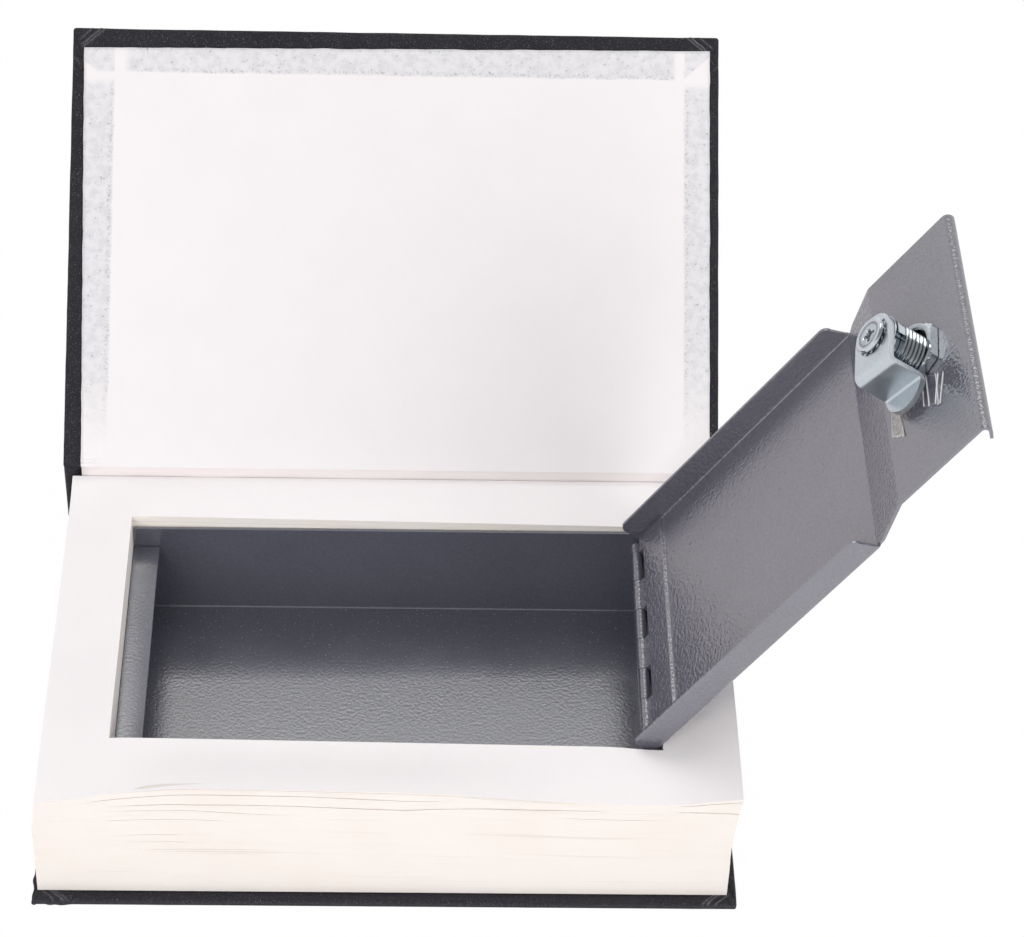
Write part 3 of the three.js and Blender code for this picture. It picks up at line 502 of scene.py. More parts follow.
def box_dust(look):
    """Dust gathers along the folds between the floor and the walls."""
    low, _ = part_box("steel_box")
    _, _, z = look.axes()
    fold_height = 4.5 * MM
    near_floor = look.range(z, low.z + fold_height, low.z + 0.5 * fold_height)
    patches = look.range(look.noise(6 * MM), 0.6, 0.7, 0, 0.7)
    return look.largest(look.product(near_floor, 0.5), patches)


def make_zinc(name, roughness):
    """Bright zinc plate: bluish, with faint rolling marks, small pits, and painted shade in its grooves
    and recesses.
    """
    look = Look(name, metallic=1.0)
    cloud = look.noise(4 * MM, detail=3)
    drawn = look.noise(0.35 * MM, detail=2, place=look.stretched(0.12, 1, 1))
    pits = look.range(look.noise(0.5 * MM, detail=1), 0.68, 0.76)
    base = look.blend(cloud, (0.56, 0.61, 0.65), (0.68, 0.73, 0.77))
    base = look.blend(look.range(drawn, 0.35, 0.65, 0, 0.35), base, (0.42, 0.46, 0.5))
    base = look.blend(look.product(pits, 0.4), base, (0.34, 0.38, 0.43))
    # Painted shade: the grooves, recesses and bores that each turned part marks are darkened toward near
    # black.
    look.colour(look.blend(look.product(look.attribute("painted_shade"), 0.85), base, (0.06, 0.065, 0.07)))
    look.rough(look.range(cloud, 0.3, 0.7, *roughness))
    look.bump(drawn, 0.004 * MM)
    return look.material


def make_brass():
    look = Look("brass", metallic=1.0)
    cloud = look.noise(3 * MM, detail=3)
    look.colour(look.blend(cloud, (0.68, 0.48, 0.16), (0.83, 0.66, 0.32)))
    look.rough(look.range(cloud, 0.3, 0.7, 0.24, 0.4))
    look.bump(look.noise(0.3 * MM, detail=2, place=look.stretched(1, 1, 0.1)), 0.006 * MM)
    return look.material


def make_spring_steel():
    look = Look("spring_steel", metallic=1.0)
    cloud = look.noise(MM, detail=2)
    look.colour(look.blend(cloud, (0.5, 0.5, 0.52), (0.68, 0.68, 0.7)))
    look.rough(look.range(cloud, 0.3, 0.7, 0.24, 0.38))
    return look.material


def make_lining():
    """Open-weave gauze glued down with brown glue."""
    look = Look("spine_lining", roughness=0.95, specular=0.15)
    thread = 0.9 * MM
    weave = []
    for stretch in ((1, 0, 0), (0, 0, 1)):
        feeds = {"Vector": look.stretched(*stretch), "Scale": 1 / thread / math.tau * 2}
        weave.append(look.node("ShaderNodeTexWave", feeds, bands_direction="DIAGONAL").outputs["Fac"])
    cross = look.largest(*weave)
    look.colour(look.blend(look.range(cross, 0.4, 0.8), (0.52, 0.44, 0.32), (0.74, 0.7, 0.6)))
    look.bump(cross, 0.1 * MM)
    return look.material


# Shapes

def add_piece(name, points, faces, body, materials, place=BOOK, sharp=35, slots=None, attributes=()):
    """A mesh piece that rides on a body. Points are in metres along the axes of its place."""
    mesh = bpy.data.meshes.new(name)
    mesh.from_pydata([tuple(p) for p in points], [], faces)
    for material in materials:
        mesh.materials.append(material)
    if slots is not None:
        mesh.polygons.foreach_set("material_index", slots)
    for label, values in dict(attributes).items():
        mesh.attributes.new(label, "FLOAT", "POINT").data.foreach_set("value", values)
    shape = bmesh.new()
    shape.from_mesh(mesh)
    bmesh.ops.remove_doubles(shape, verts=shape.verts, dist=1e-6)
    bmesh.ops.dissolve_degenerate(shape, edges=shape.edges, dist=1e-7)
    bmesh.ops.recalc_face_normals(shape, faces=shape.faces)
    shape.to_mesh(mesh)
    shape.free()
    mesh.polygons.foreach_set("use_smooth", [True] * len(mesh.polygons))
    mesh.set_sharp_from_angle(angle=math.radians(sharp))
    piece = bpy.data.objects.new(name, mesh)
    bpy.context.scene.collection.objects.link(piece)
    piece.matrix_world = place
    if body:
        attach(piece, body)
    return piece


def round_edges(obj, width, angle, segments=2):
    bevel = obj.modifiers.new("edge", "BEVEL")
    bevel.width = width
    bevel.segments = segments
    bevel.limit_method = "ANGLE"
    bevel.angle_limit = math.radians(angle)


def thicken(obj, thickness):
    """Gives a middle surface its thickness."""
    solid = obj.modifiers.new("thickness", "SOLIDIFY")
    solid.thickness = thickness
    solid.offset = 0


def soften(obj, width, angle=40):
    """Rounds an object's edges without touching its mesh."""
    weld = obj.modifiers.new("weld", "WELD")
    weld.merge_threshold = 1e-6
    round_edges(obj, width, angle)
    weighted = obj.modifiers.new("weighted", "WEIGHTED_NORMAL")
    weighted.keep_sharp = True
    weighted.weight = 80


def sheet_metal(obj, thickness, edge, segments=2):
    """Gives a middle surface its thickness and rounded edges."""
    thicken(obj, thickness)
    round_edges(obj, edge, 50, segments)


def cut_away(obj, points, faces, place):
    """Cuts a closed shape out of a piece for good."""
    mesh = bpy.data.meshes.new("cutter")
    mesh.from_pydata([tuple(p) for p in points], [], faces)
    shape = bmesh.new()
    shape.from_mesh(mesh)
    bmesh.ops.recalc_face_normals(shape, faces=shape.faces)
    shape.to_mesh(mesh)
    shape.free()
    cutter = bpy.data.objects.new("cutter", mesh)
    bpy.context.scene.collection.objects.link(cutter)
    cutter.matrix_world = place
    modifier = obj.modifiers.new("cut", "BOOLEAN")
    modifier.operation = "DIFFERENCE"
    modifier.solver = "EXACT"
    modifier.object = cutter
    settle(obj)
    bpy.data.objects.remove(cutter)
    bpy.data.meshes.remove(mesh)


def settle(obj):
    """Makes what the modifiers show into the piece's own mesh."""
    bpy.context.view_layer.update()
    seen = obj.evaluated_get(bpy.context.evaluated_depsgraph_get())
    made = bpy.data.meshes.new_from_object(seen)
    made.name = obj.data.name + "_cut"
    obj.modifiers.clear()
    obj.data = made


def grid_faces(rows, columns):
    """Faces between rows of points."""
    starts = [i * columns + j for i in range(rows - 1) for j in range(columns - 1)]
    return [(a, a + 1, a + columns + 1, a + columns) for a in starts]


def end_faces(rings, count):
    """The two faces that close a run of rings."""
    return [tuple(range(count)), tuple(range((rings - 1) * count, rings * count))]


def sleeve_faces(rings, count):
    """Faces between closed rings of points, and the two that close their ends."""
    faces = end_faces(rings, count)
    for i in range(rings - 1):
        for k in range(count):
            n = (k + 1) % count
            a, b = i * count, (i + 1) * count
            faces.append((a + k, a + n, b + n, b + k))
    return faces


def prism(outline, low, high):
    """Points and faces of an outline raised from low to high."""
    points = [(x, y, low) for x, y in outline] + [(x, y, high) for x, y in outline]
    return points, sleeve_faces(2, len(outline))


def box_skin(rules):
    """The skin of a box, ruled at the given positions along each axis."""
    index = {}
    points = []
    faces = []

    def at(*key):
        if key not in index:
            index[key] = len(points)
            points.append(Vector([rule[place] for rule, place in zip(rules, key)]))
        return index[key]

    counts = [len(rule) - 1 for rule in rules]
    for across in range(3):
        first, second = [axis for axis in range(3) if axis != across]
        for end in (0, counts[across]):
            for i in range(counts[first]):
                for j in range(counts[second]):
                    corners = []
                    for di, dj in ((0, 0), (1, 0), (1, 1), (0, 1)):
                        key = [0, 0, 0]
                        key[across] = end
                        key[first] = i + di
                        key[second] = j + dj
                        corners.append(at(*key))
                    faces.append(tuple(corners))
    return points, faces


def ruled(low, high, radius, fine_zone, fine_step, step):
    """Positions along a board: close together round its edges, finer near its corners."""
    turns = 3
    rim = [radius * (1 - math.tan(math.pi / 4 * (1 - k / turns))) for k in range(turns + 1)]
    zone = min(fine_zone, (high - low) / 2 - radius)
    near = between(radius, radius + zone, fine_step)[1:] if zone > fine_step else []
    start = [low + v for v in rim + near]
    end = [high - v for v in reversed(rim + near)]
    return start + between(start[-1], end[0], step)[1:-1] + end


def wrapped_board(name, low, high, radius, body, place, cloth, relief):
    """A board covered in cloth. relief(point, outward) gives its surface's height and its wear."""
    fine_zone, fine_step, step = 14 * MM, 0.4 * MM, 4 * MM
    rules = [ruled(low[a], high[a], radius, fine_zone, fine_step, step) for a in range(3)]
    points, faces = box_skin(rules)
    inner_low = low + Vector((radius,) * 3)
    inner_high = high - Vector((radius,) * 3)
    wear = []
    for point in points:
        core = Vector(tuple(min(max(point[a], inner_low[a]), inner_high[a]) for a in range(3)))
        outward = (point - core).normalized()
        height, rubbed = relief(core + outward * radius, outward)
        point[:] = core + outward * (radius + height)
        wear.append(rubbed)
    return add_piece(name, points, faces, body, [cloth], place, attributes={"wear": wear})


def corner_folds(point, low, high):
    """Mitred turn-ins at the two corners of a cover's fore-edge: their height, and how rubbed they are."""
    reach = 15 * MM
    height = 0.0
    wear = 0.0
    for across in (point.x - low.x, high.x - point.x):
        along = point.y - low.y
        if across > reach or along > reach:
            continue
        fade = 1 - smooth(0.7 * reach, reach, max(across, along))
        mitre = across - 0.36 * along
        height -= fade * ridge(mitre, 0.5 * MM, 0.38 * MM)
        height += fade * 0.25 * MM * smooth(-0.3 * MM, 0.3 * MM, mitre)
        corner = across + 1.15 * along + 0.5 * MM * noise.noise(point / (3 * MM))
        for distance, raised in ((7.4 * MM, 0.7), (10.6 * MM, 1.0), (12.2 * MM, 0.8)):
            crease = fade * ridge(corner - distance, 0.35 * MM, raised) * smooth(0, 2 * MM, mitre)
            height += 0.3 * MM * crease
            wear = max(wear, crease)
        lower = abs(along - 11 * MM - 0.8 * across)
        wear = max(wear, 0.5 * fade * ridge(lower, 0.35 * MM, 1.0) * smooth(0, 2 * MM, -mitre))
    return height, wear


def lumps(point, low):
    """The crushed corner at the head of a cover's fore-edge."""
    distance = Vector((point.x - low.x, point.y - low.y)).length
    return (1 - smooth(6 * MM, 17 * MM, distance)) * uneven(point, 3.5 * MM, 1.5 * MM)


# The book's case

def make_case(cloth):
    """Back cover, spine and rear joint."""
    low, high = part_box("case_cloth")
    board_low, board_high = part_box("back_board")
    spine_low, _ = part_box("spine_board")
    wrap = board_low.x - low.x
    thick = board_high.z + wrap
    front_low = Vector((low.x, low.y, 0))
    front_high = Vector((high.x, board_high.y + wrap, thick))

    def back_relief(point, outward):
        folds, wear = corner_folds(point, front_low, front_high)
        inside = max(outward.z, 0)
        edge = uneven(point + Vector((0, 0, 1)), 9 * MM, 0.14 * MM) * (1 - abs(outward.z))
        if outward.z < -0.5:
            return 0.0, 0.0
        crushed = lumps(point, front_low) * (1 - 0.5 * inside)
        return folds * inside + edge + crushed + uneven(point, 16 * MM, 0.05 * MM), wear * inside

    spine_from = Vector((low.x, spine_low.y - wrap, 0))

    def spine_relief(point, outward):
        return uneven(point, 14 * MM, 0.12 * MM) * (1 if outward.y < 0.9 else 0.3), 0.0

    for name, start, end, radius, relief in (
        ("back_cover_cloth", front_low, front_high, 0.9 * MM, back_relief),
        ("spine_cloth", spine_from, high, 1.2 * MM, spine_relief),
    ):
        part = wrapped_board(name, start, end, radius, "book", BOOK, cloth, relief)
        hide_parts("case_cloth")

    # Cloth pressed into the groove between the back board and the spine
    start_y, end_y = front_high.y - 2 * MM, spine_from.y + 2 * MM
    rows = between(start_y, end_y, 0.8 * MM)
    columns = between(low.x + 0.4 * MM, high.x - 0.4 * MM, 6 * MM)
    points = []
    for y in rows:
        share = (y - start_y) / (end_y - start_y)
        for x in columns:
            height = 0.9 * MM + 0.9 * MM * math.sin(math.pi * share)
            points.append(Vector((x, y, height + uneven(Vector((x, y, 0)), 11 * MM, 0.12 * MM))))
    faces = grid_faces(len(rows), len(columns))
    joint = add_piece("rear_joint_cloth", points, faces, "book", [cloth])
    sheet_metal(joint, 0.6 * MM, 0.15 * MM)
    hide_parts("case_cloth")


def make_front_cover(cloth, pastedown):
    low, high = box_in(COVER, "front_cloth")

    def relief(point, outward):
        folds, wear = corner_folds(point, low, high)
        inside = max(-outward.z, 0)
        edge = uneven(point + Vector((0, 0, 2)), 8 * MM, 0.16 * MM) * (1 - abs(outward.z))
        return folds * inside + edge + uneven(point, 18 * MM, 0.06 * MM), wear * inside

    cover = wrapped_board("front_cover_cloth", low, high, 0.9 * MM, "front_cover", COVER, cloth, relief)
    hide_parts("front_cloth")

    # Pastedown: its edges are cut by hand, and the turned-in cloth lifts it along three sides
    paper_low, paper_high = box_in(COVER, "front_endpaper")
    head_fore = paper_head(paper_low.y)
    head_joint = paper_head(paper_high.y)
    columns = 150
    creased = paper_high.y - 4 * MM
    lines = between(paper_low.y, creased, 1.7 * MM) + between(creased, paper_high.y, 0.2 * MM)[1:]
    band, step_width, lift = 16 * MM, 1.2 * MM, 0.28 * MM
    points = []
    for i, line in enumerate(lines):
        share_y = (line - paper_low.y) / (paper_high.y - paper_low.y)
        for j in range(columns + 1):
            share_x = j / columns
            left = head_fore + (head_joint - head_fore) * share_y
            x = left + (paper_high.x - left) * share_x
            y = line + 2.2 * MM * (1 - share_y) * (1 - share_x)
            rag = 0.22 * MM * noise.noise(Vector((x, y, 0)) / (6 * MM))
            x += rag if j in (0, columns) else 0
            y += rag if i == 0 else 0
            edge = min(x - low.x - band, high.x - x - band * 0.8, y - low.y - band)
            raised = lift * (1 - smooth(-step_width / 2, step_width / 2, edge))
            wrinkle = gutter_wrinkle(x, y, paper_low, paper_high)
            z = paper_high.z / 2 - raised - wrinkle - uneven(Vector((x, y, 3)), 30 * MM, 0.1 * MM)
            points.append(Vector((x, y, z)))
    faces = grid_faces(len(lines), columns + 1)
    paper = add_piece("front_pastedown", points, faces, "front_cover", [pastedown], COVER)
    thicken(paper, 0.3 * MM)
    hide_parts("front_endpaper")


def paper_head(y):
    """Where the pastedown's edge at the head lies along x, at a given y."""
    return min(p[0] for p in points_in(COVER, "front_endpaper") if abs(p[1] - y) < 3 * MM)


def gutter_wrinkle(x, y, low, high):
    """Two short creases beside the gutter at the head of the book."""
    reach = 1 - smooth(6 * MM, 9.5 * MM, x - low.x)
    across = (high.y - y) / MM
    return reach * (ridge(across - 0.9, 0.35, 0.5 * MM) + ridge(across - 2.4, 0.35, 0.45 * MM))


def make_front_joint(cloth):
    """The cloth hinge of the front cover: flush with the cover, then creased where it meets the spine."""
    _, spine_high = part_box("case_cloth")
    cover_low, cover_high = box_in(COVER, "front_cloth")
    overlap = 0.8 * MM
    lip = 0.5 * MM
    crease_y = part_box("front_joint_cloth")[0].y
    seat = spine_high.z - 1.4 * MM

    def on_cover(y, z):
        point = COVER @ Vector((0, y, z))
        return point.y, point.z

    edge = cover_high.y - overlap
    profile = [
        on_cover(edge, cover_low.z + 0.03 * MM),
        on_cover(edge * 0.62, cover_low.z + 0.05 * MM),
        on_cover(edge * 0.3, cover_low.z + 0.1 * MM),
        on_cover(-lip, cover_low.z + 0.4 * MM),
        (crease_y + 0.7 * MM, spine_high.z + 0.5 * MM),
        (crease_y + 1.0 * MM, seat),
        (spine_high.y - 1.0 * MM, seat),
        (spine_high.y - 0.3 * MM, spine_high.z - 0.5 * MM),
        (spine_high.y + 0.2 * MM, spine_high.z + 0.6 * MM),
        on_cover(edge * 0.8, cover_high.z - 0.6 * MM),
        on_cover(edge, cover_high.z - 0.15 * MM),
    ]

    xs = between(cover_low.x + 0.1 * MM, cover_high.x - 0.1 * MM, 4 * MM)
    points = []
    for x in xs:
        for y, z in profile:
            sag = uneven(Vector((x, z, 5)), 12 * MM, 0.2 * MM)
            free = smooth(spine_high.z - MM, spine_high.z + MM, z)
            points.append(Vector((x, y, z)) + Vector((0, sag, sag)) * free)
    joint = add_piece(
        "front_joint", points, sleeve_faces(len(xs), len(profile)), None, [cloth],
        attributes={"wear": [0.0] * len(points)})
    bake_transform(joint)
    soften(joint, 0.35 * MM, angle=30)
    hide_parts("front_joint_cloth")


def make_gutter_fold(paper):
    """The end paper between the front cover and the first leaf, folded into the gutter."""
    _, page_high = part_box("page_block")
    _, paper_high = box_in(COVER, "front_endpaper")
    top = COVER @ Vector((0, paper_high.y - 1.2 * MM, paper_high.z / 2))
    bottom = Vector((0, page_high.y + 0.45 * MM, GUTTER_HEIGHT - 0.9 * MM))
    belly = Vector((0, page_high.y + 0.2 * MM, GUTTER_HEIGHT + 1.6 * MM))
    rows = 10
    xs = between(paper_head(paper_high.y) + 0.2 * MM, paper_high.x - 0.5 * MM, 5 * MM)
    points = []
    for k in range(rows + 1):
        t = k / rows
        line = bottom * (1 - t) ** 2 + belly * 2 * t * (1 - t) + top * t ** 2
        for x in xs:
            wave = uneven(Vector((x, 4 * t * MM, 9)), 26 * MM, 0.5 * MM) * math.sin(math.pi * t)
            points.append(Vector((x, line.y + wave, line.z + 0.5 * wave)))
    fold = add_piece("gutter_fold", points, grid_faces(rows + 1, len(xs)), None, [paper])
    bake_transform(fold)
    thicken(fold, 0.25 * MM)


# The pages

# Gaps between the leaves, seen at the fore-edge. Each has its height at some places along x, the
# stretches of x over which it stands open, and how far it opens. Lengths are in mm.
LEAF_GAPS = (
    (((-63, 23.1), (-37, 23.2)), ((-64, -35),), 0.12),
    (((-82, 24.7), (-37, 25.3)), ((-83, -36),), 0.16),
    (((-84, 29.0), (-64, 29.1)), ((-85, -62),), 0.12),
    (((-89, 32.0), (-63, 32.9)), ((-90, -62),), 0.16),
    (((-97, 38.9), (-48, 39.5)), ((-98, -46),), 0.18),
    (((-91, 44.0), (-33, 42.7), (5, 41.7), (57, 42.8), (94, 42.0)), ((-92, -30), (56, 96)), 0.22),
    (((-88, 46.8), (-65, 47.8), (-49, 48.0), (-34, 47.7), (-17, 46.9), (5, 46.0), (32, 47.3),
      (72, 46.6), (95, 46.3), (118, 45.1)), ((-92, 76), (93, 140)), 0.4),
    (((-101, 48.1), (-86, 50.9), (-70, 52.6), (-52, 52.8), (-28, 52.4), (5, 50.6), (35, 50.2),
      (72, 48.6), (95, 48.8), (118, 51.2)), ((-103, 22), (93, 140)), 0.34),
    (((-88, 53.3), (-52, 55.4), (5, 54.2), (65, 49.9), (95, 49.2)), ((-90, 68),), 0.16),
)
GUTTER_HEIGHT = 48.4 * MM
LEAF_SHIFT = 1.7 * MM
GAP_DEPTH = 2.6 * MM
SIDE_REACH = 30 * MM


def page_heights(xs, ys, inside):
    """Height of the top leaf over a grid, read off the CAD block and smoothed."""
    block = frame["nodes"]["page_block"].data
    tree = BVHTree.FromPolygons([v.co for v in block.vertices], [p.vertices for p in block.polygons])
    low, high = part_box("page_block")
    margin = 0.3 * MM
    heights = {}
    for i, x in enumerate(xs):
        for j, y in enumerate(ys):
            if not inside(i, j):
                continue
            probe_x = min(max(x + LEAF_SHIFT, low.x + LEAF_SHIFT + margin), high.x - margin)
            probe_y = min(max(y, low.y + margin), high.y - margin)
            hit = tree.ray_cast(Vector((probe_x, probe_y, high.z + 0.02)), Vector((0, 0, -1)))[0]
            heights[i, j] = hit.z
    for _ in range(8):
        for di, dj in ((1, 0), (0, 1)):
            heights = {
                (i, j): (heights[i - di, j - dj] + 2 * z + heights[i + di, j + dj]) / 4
                if (i - di, j - dj) in heights and (i + di, j + dj) in heights else z
                for (i, j), z in heights.items()
            }
    return heights


def leaf_rows(base, fore_xs, fore_tops):
    """The rows of the page edges from the bottom up: (share at x, gap or None, part of the gap)."""
    def curve(marks):
        places = [x for x, _ in marks]
        tops = np.interp(np.array(places) * MM, fore_xs, fore_tops)
        shares = [(z * MM - base) / (top - base) for (_, z), top in zip(marks, tops)]
        return lambda x: float(np.interp(x / MM, places, shares))

    rows = []
    fixed = [lambda x: 0.0] + [curve(gap[0]) for gap in LEAF_GAPS] + [lambda x: 1.0]
    row_height = 0.028
    for k in range(1, len(fixed)):
        lower, upper = fixed[k - 1], fixed[k]
        middle_span = upper(-0.02) - lower(-0.02)
        count = max(1, round(middle_span / row_height))
        for step in range(1, count):
            share = step / count
            rows.append((lambda x, a=lower, b=upper, s=share: a(x) + (b(x) - a(x)) * s, None, 0))
        if k < len(fixed) - 1:
            rows += [(upper, LEAF_GAPS[k - 1], part) for part in (-1, 0, 1)]
    return [(fixed[0], None, 0)] + rows + [(fixed[-1], None, 0)]


def gap_opening(gap, x, y, front):
    """How far a gap stands open at a point, from 0 to 1."""
    widest = 0.0
    for start, end in gap[1]:
        taper = min(12.0, (end - start) / 3)
        place = x / MM
        here = smooth(start, start + taper, place) * (1 - smooth(end - taper, end, place))
        widest = max(widest, here)
    return widest * (1 - smooth(0, SIDE_REACH, y - front))


def make_pages(edges, paper, window_edges_lit):
    """The page block: its top leaf, its cut edges with the gaps between leaves, and the window."""
    low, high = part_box("page_block")
    box_low, box_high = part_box("steel_box")
    left, right = low.x, high.x - LEAF_SHIFT
    step = 2.2 * MM
    clear, hinge_clear = 0.6 * MM, 1.5 * MM
    window_x = [box_low.x - clear - LEAF_SHIFT, box_high.x + hinge_clear - LEAF_SHIFT]
    window_y = [box_low.y - clear, box_high.y + clear]
    xs, (first_x, last_x, end_x) = through([left, *window_x, right], step)
    ys, (first_y, last_y, end_y) = through([low.y, *window_y, high.y], step)

    def on_top(i, j):
        return not (first_x < i < last_x and first_y < j < last_y)

    heights = page_heights(xs, ys, on_top)
    base = low.z
    floor = base + 1.0 * MM
    points = []
    leaf = []
    slots = []
    faces = []

    def add(i, j, share, inset, direction, straight):
        """A vertex on a page edge, drawn in towards the pages by an inset."""
        x, y = xs[i], ys[j]
        height = heights[i, j] - base
        shift = LEAF_SHIFT * (1 if straight else share ** 2)
        place = Vector((x + shift, y, base + share * height))
        if not straight:
            place.x += silhouette(x, share, left, right)
        place += direction * inset
        points.append(place)
        leaf.append(share * (high.z - base))
        return len(points) - 1

    top = {(i, j): add(i, j, 1.0, 0.0, Vector(), False) for i, j in heights}
    for i in range(end_x):
        for j in range(end_y):
            if first_x <= i < last_x and first_y <= j < last_y:
                continue
            faces.append((top[i, j], top[i + 1, j], top[i + 1, j + 1], top[i, j + 1]))
            slots.append(1)

    outer = loop_of(0, end_x, 0, end_y)
    hole = loop_of(first_x, last_x, first_y, last_y)
    fore_tops = [heights[i, 0] for i in range(len(xs))]
    rows = leaf_rows(base, [x + LEAF_SHIFT for x in xs], fore_tops)

    def wall(loop, chosen, straight):
        lines = []
        for curve, gap, part in chosen:
            line = []
            for i, j in loop:
                x, y = xs[i], ys[j]
                share = curve(x)
                direction = inward(i, j, loop, straight)
                inset = 0.0
                if gap:
                    opening = gap_opening(gap, x + LEAF_SHIFT, low.y if straight else y, low.y)
                    opening *= 0.5 if straight else 1.0
                    width = max(gap[2] * MM * opening, 0.05 * MM) / (heights[i, j] - base)
                    share += part * width / 2
                    inset = GAP_DEPTH * opening if part == 0 else 0.0
                if 0 < share < 1 and not straight:
                    inset += 0.09 * MM * noise.noise(Vector((x / (60 * MM), y / (60 * MM), share * 97)))
                line.append(add(i, j, share, inset, direction, straight))
            lines.append(line)
        return lines

    outer_lines = wall(outer, rows[:-1], False) + [[top[key] for key in outer]]
    shown = [row for row in rows[1:-1] if row[0](0.0) > 0.6]
    hole_lines = wall(hole, shown, True) + [[top[key] for key in hole]]
    floor_line = []
    for i, j in hole:
        points.append(Vector((xs[i] + LEAF_SHIFT, ys[j], floor)))
        leaf.append(0.0)
        floor_line.append(len(points) - 1)
    hole_lines = [floor_line] + hole_lines
    for lines, finish in ((outer_lines, 0), (hole_lines, 2)):
        for lower, upper in zip(lines, lines[1:]):
            for k in range(len(lower)):
                n = (k + 1) % len(lower)
                faces.append((lower[k], lower[n], upper[n], upper[k]))
                slots.append(finish)
    faces.append(tuple(outer_lines[0]))
    faces.append(tuple(floor_line))
    slots += [0, 1]
    pages = add_piece(
        "pages", points, faces, "book", [edges, paper, window_edges_lit], slots=slots,
        attributes={"leaf": leaf}, sharp=42)
    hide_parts("page_block")


def silhouette(x, share, left, right):
    """The block's ends aren't straight: the head bulges and the tail draws in below the top."""
    if x - left < 12 * MM:
        return -0.7 * MM * math.exp(-(((share - 0.68) / 0.2) ** 2)) * (1 - smooth(0, 12 * MM, x - left))
    if right - x < 12 * MM:
        drawn = -0.6 * MM * math.exp(-(((share - 0.55) / 0.22) ** 2)) + 0.4 * MM * smooth(0.86, 1, share)
        return drawn * (1 - smooth(0, 12 * MM, right - x))
    return 0.0


def loop_of(first_i, last_i, first_j, last_j):
    """Grid places round a rectangle, in order."""
    loop = [(i, first_j) for i in range(first_i, last_i)]
    loop += [(last_i, j) for j in range(first_j, last_j)]
    loop += [(i, last_j) for i in range(last_i, first_i, -1)]
    loop += [(first_i, j) for j in range(last_j, first_j, -1)]
    return loop


def inward(i, j, loop, hole):
    """Direction into the paper from a place on the block's outside or on the window's wall."""
    (low_i, low_j), (high_i, high_j) = loop[0], max(loop)
    direction = Vector(((i == low_i) - (i == high_i), (j == low_j) - (j == high_j), 0)).normalized()
    return -direction if hole else direction


# The lid

SHEET = 1.1 * MM
JOGGLE_RUN = 19.5 * MM
JOGGLE_BEND = 2.4 * MM
PLATE_LENGTH = 40.65 * MM
LIP_RADIUS = 1.9 * MM
LIP_TURN = math.radians(135)
LIP_STRAIGHT = 2.6 * MM
FLANGE_HEIGHT = 10.2 * MM
FLANGE_ROOT = 0.15 * MM
FLANGE_CORNER = 3 * MM
FLANGE_NOSE = 3 * MM
FLANGE_LEAN = 2.4 * MM
FLANGE_SHORT = 1.5 * MM
FOLD_RADIUS = 1.15 * MM
SLOT_DEPTH = 2 * MM


def rounded_path(corners, radii, step):
    """Points along straight runs joined by arcs. Each corner but the ends has its radius."""
    turns = 6
    corners = [Vector(corner) for corner in corners]
    path = [corners[0]]
    for before, here, after, radius in zip(corners, corners[1:], corners[2:], radii):
        back = (before - here).normalized()
        ahead = (after - here).normalized()
        half = math.acos(max(-1.0, min(1.0, back.dot(ahead)))) / 2
        centre = here + (back + ahead).normalized() * (radius / math.sin(half))
        arm = here + back * (radius / math.tan(half)) - centre
        side = 1 if back.x * ahead.y - back.y * ahead.x < 0 else -1
        sweep = side * (math.pi - 2 * half)
        path += straight(path[-1], centre + arm, step)[1:]
        for k in range(1, turns + 1):
            path.append(centre + Matrix.Rotation(sweep * k / turns, 2) @ arm)
    return path + straight(path[-1], corners[-1], step)[1:]


def straight(start, end, step):
    """Points from start to end, about a step apart."""
    count = max(1, round((end - start).length / step))
    return [start.lerp(end, k / count) for k in range(count + 1)]


def lid_profile(low, high, plate, marks):
    """The lid's middle line from the hinge to the end lip, as (along, height) points."""
    middle = low.z + SHEET / 2
    panel_end = high.x - PLATE_LENGTH - JOGGLE_RUN
    lip_start = high.x - SHEET / 2 - LIP_RADIUS
    corners = [(low.x, middle), (panel_end, middle), (panel_end + JOGGLE_RUN, plate), (lip_start, plate)]
    line = rounded_path(corners, [JOGGLE_BEND, JOGGLE_BEND], 4 * MM)
    line += [
        Vector((mark, height_on(line, mark)))
        for mark in marks if all(abs(mark - p.x) > 0.15 * MM for p in line)
    ]
    line.sort(key=lambda p: p.x)
    turns = 9
    centre = Vector((lip_start, plate - LIP_RADIUS))
    for k in range(1, turns + 1):
        angle = LIP_TURN * k / turns
        line.append(centre + LIP_RADIUS * Vector((math.sin(angle), math.cos(angle))))
    onward = Vector((math.cos(LIP_TURN), -math.sin(LIP_TURN)))
    return line + straight(line[-1], line[-1] + LIP_STRAIGHT * onward, 1.3 * MM)[1:]


def flange_strip(top, base, middle, lift):
    """Places up one flange: (inward from its face, height), from the fold to a given top."""
    share = 1.0
    if top < base:
        share = math.acos(max(-1.0, 1 - (top - middle) / FOLD_RADIUS)) / (math.pi / 2)
    rise = max(top - base, 0)
    steps = 5
    places = []
    for k in range(1, steps + 1):
        angle = share * math.pi / 2 * k / steps
        height = base - FOLD_RADIUS * math.cos(angle) + lift * (1 - share * k / steps)
        places.append((FOLD_RADIUS * (1 - math.sin(angle)), height))
    inset, height = places[-1]
    places += [(inset, height + rise * k / steps) for k in range(1, steps + 1)]
    return places


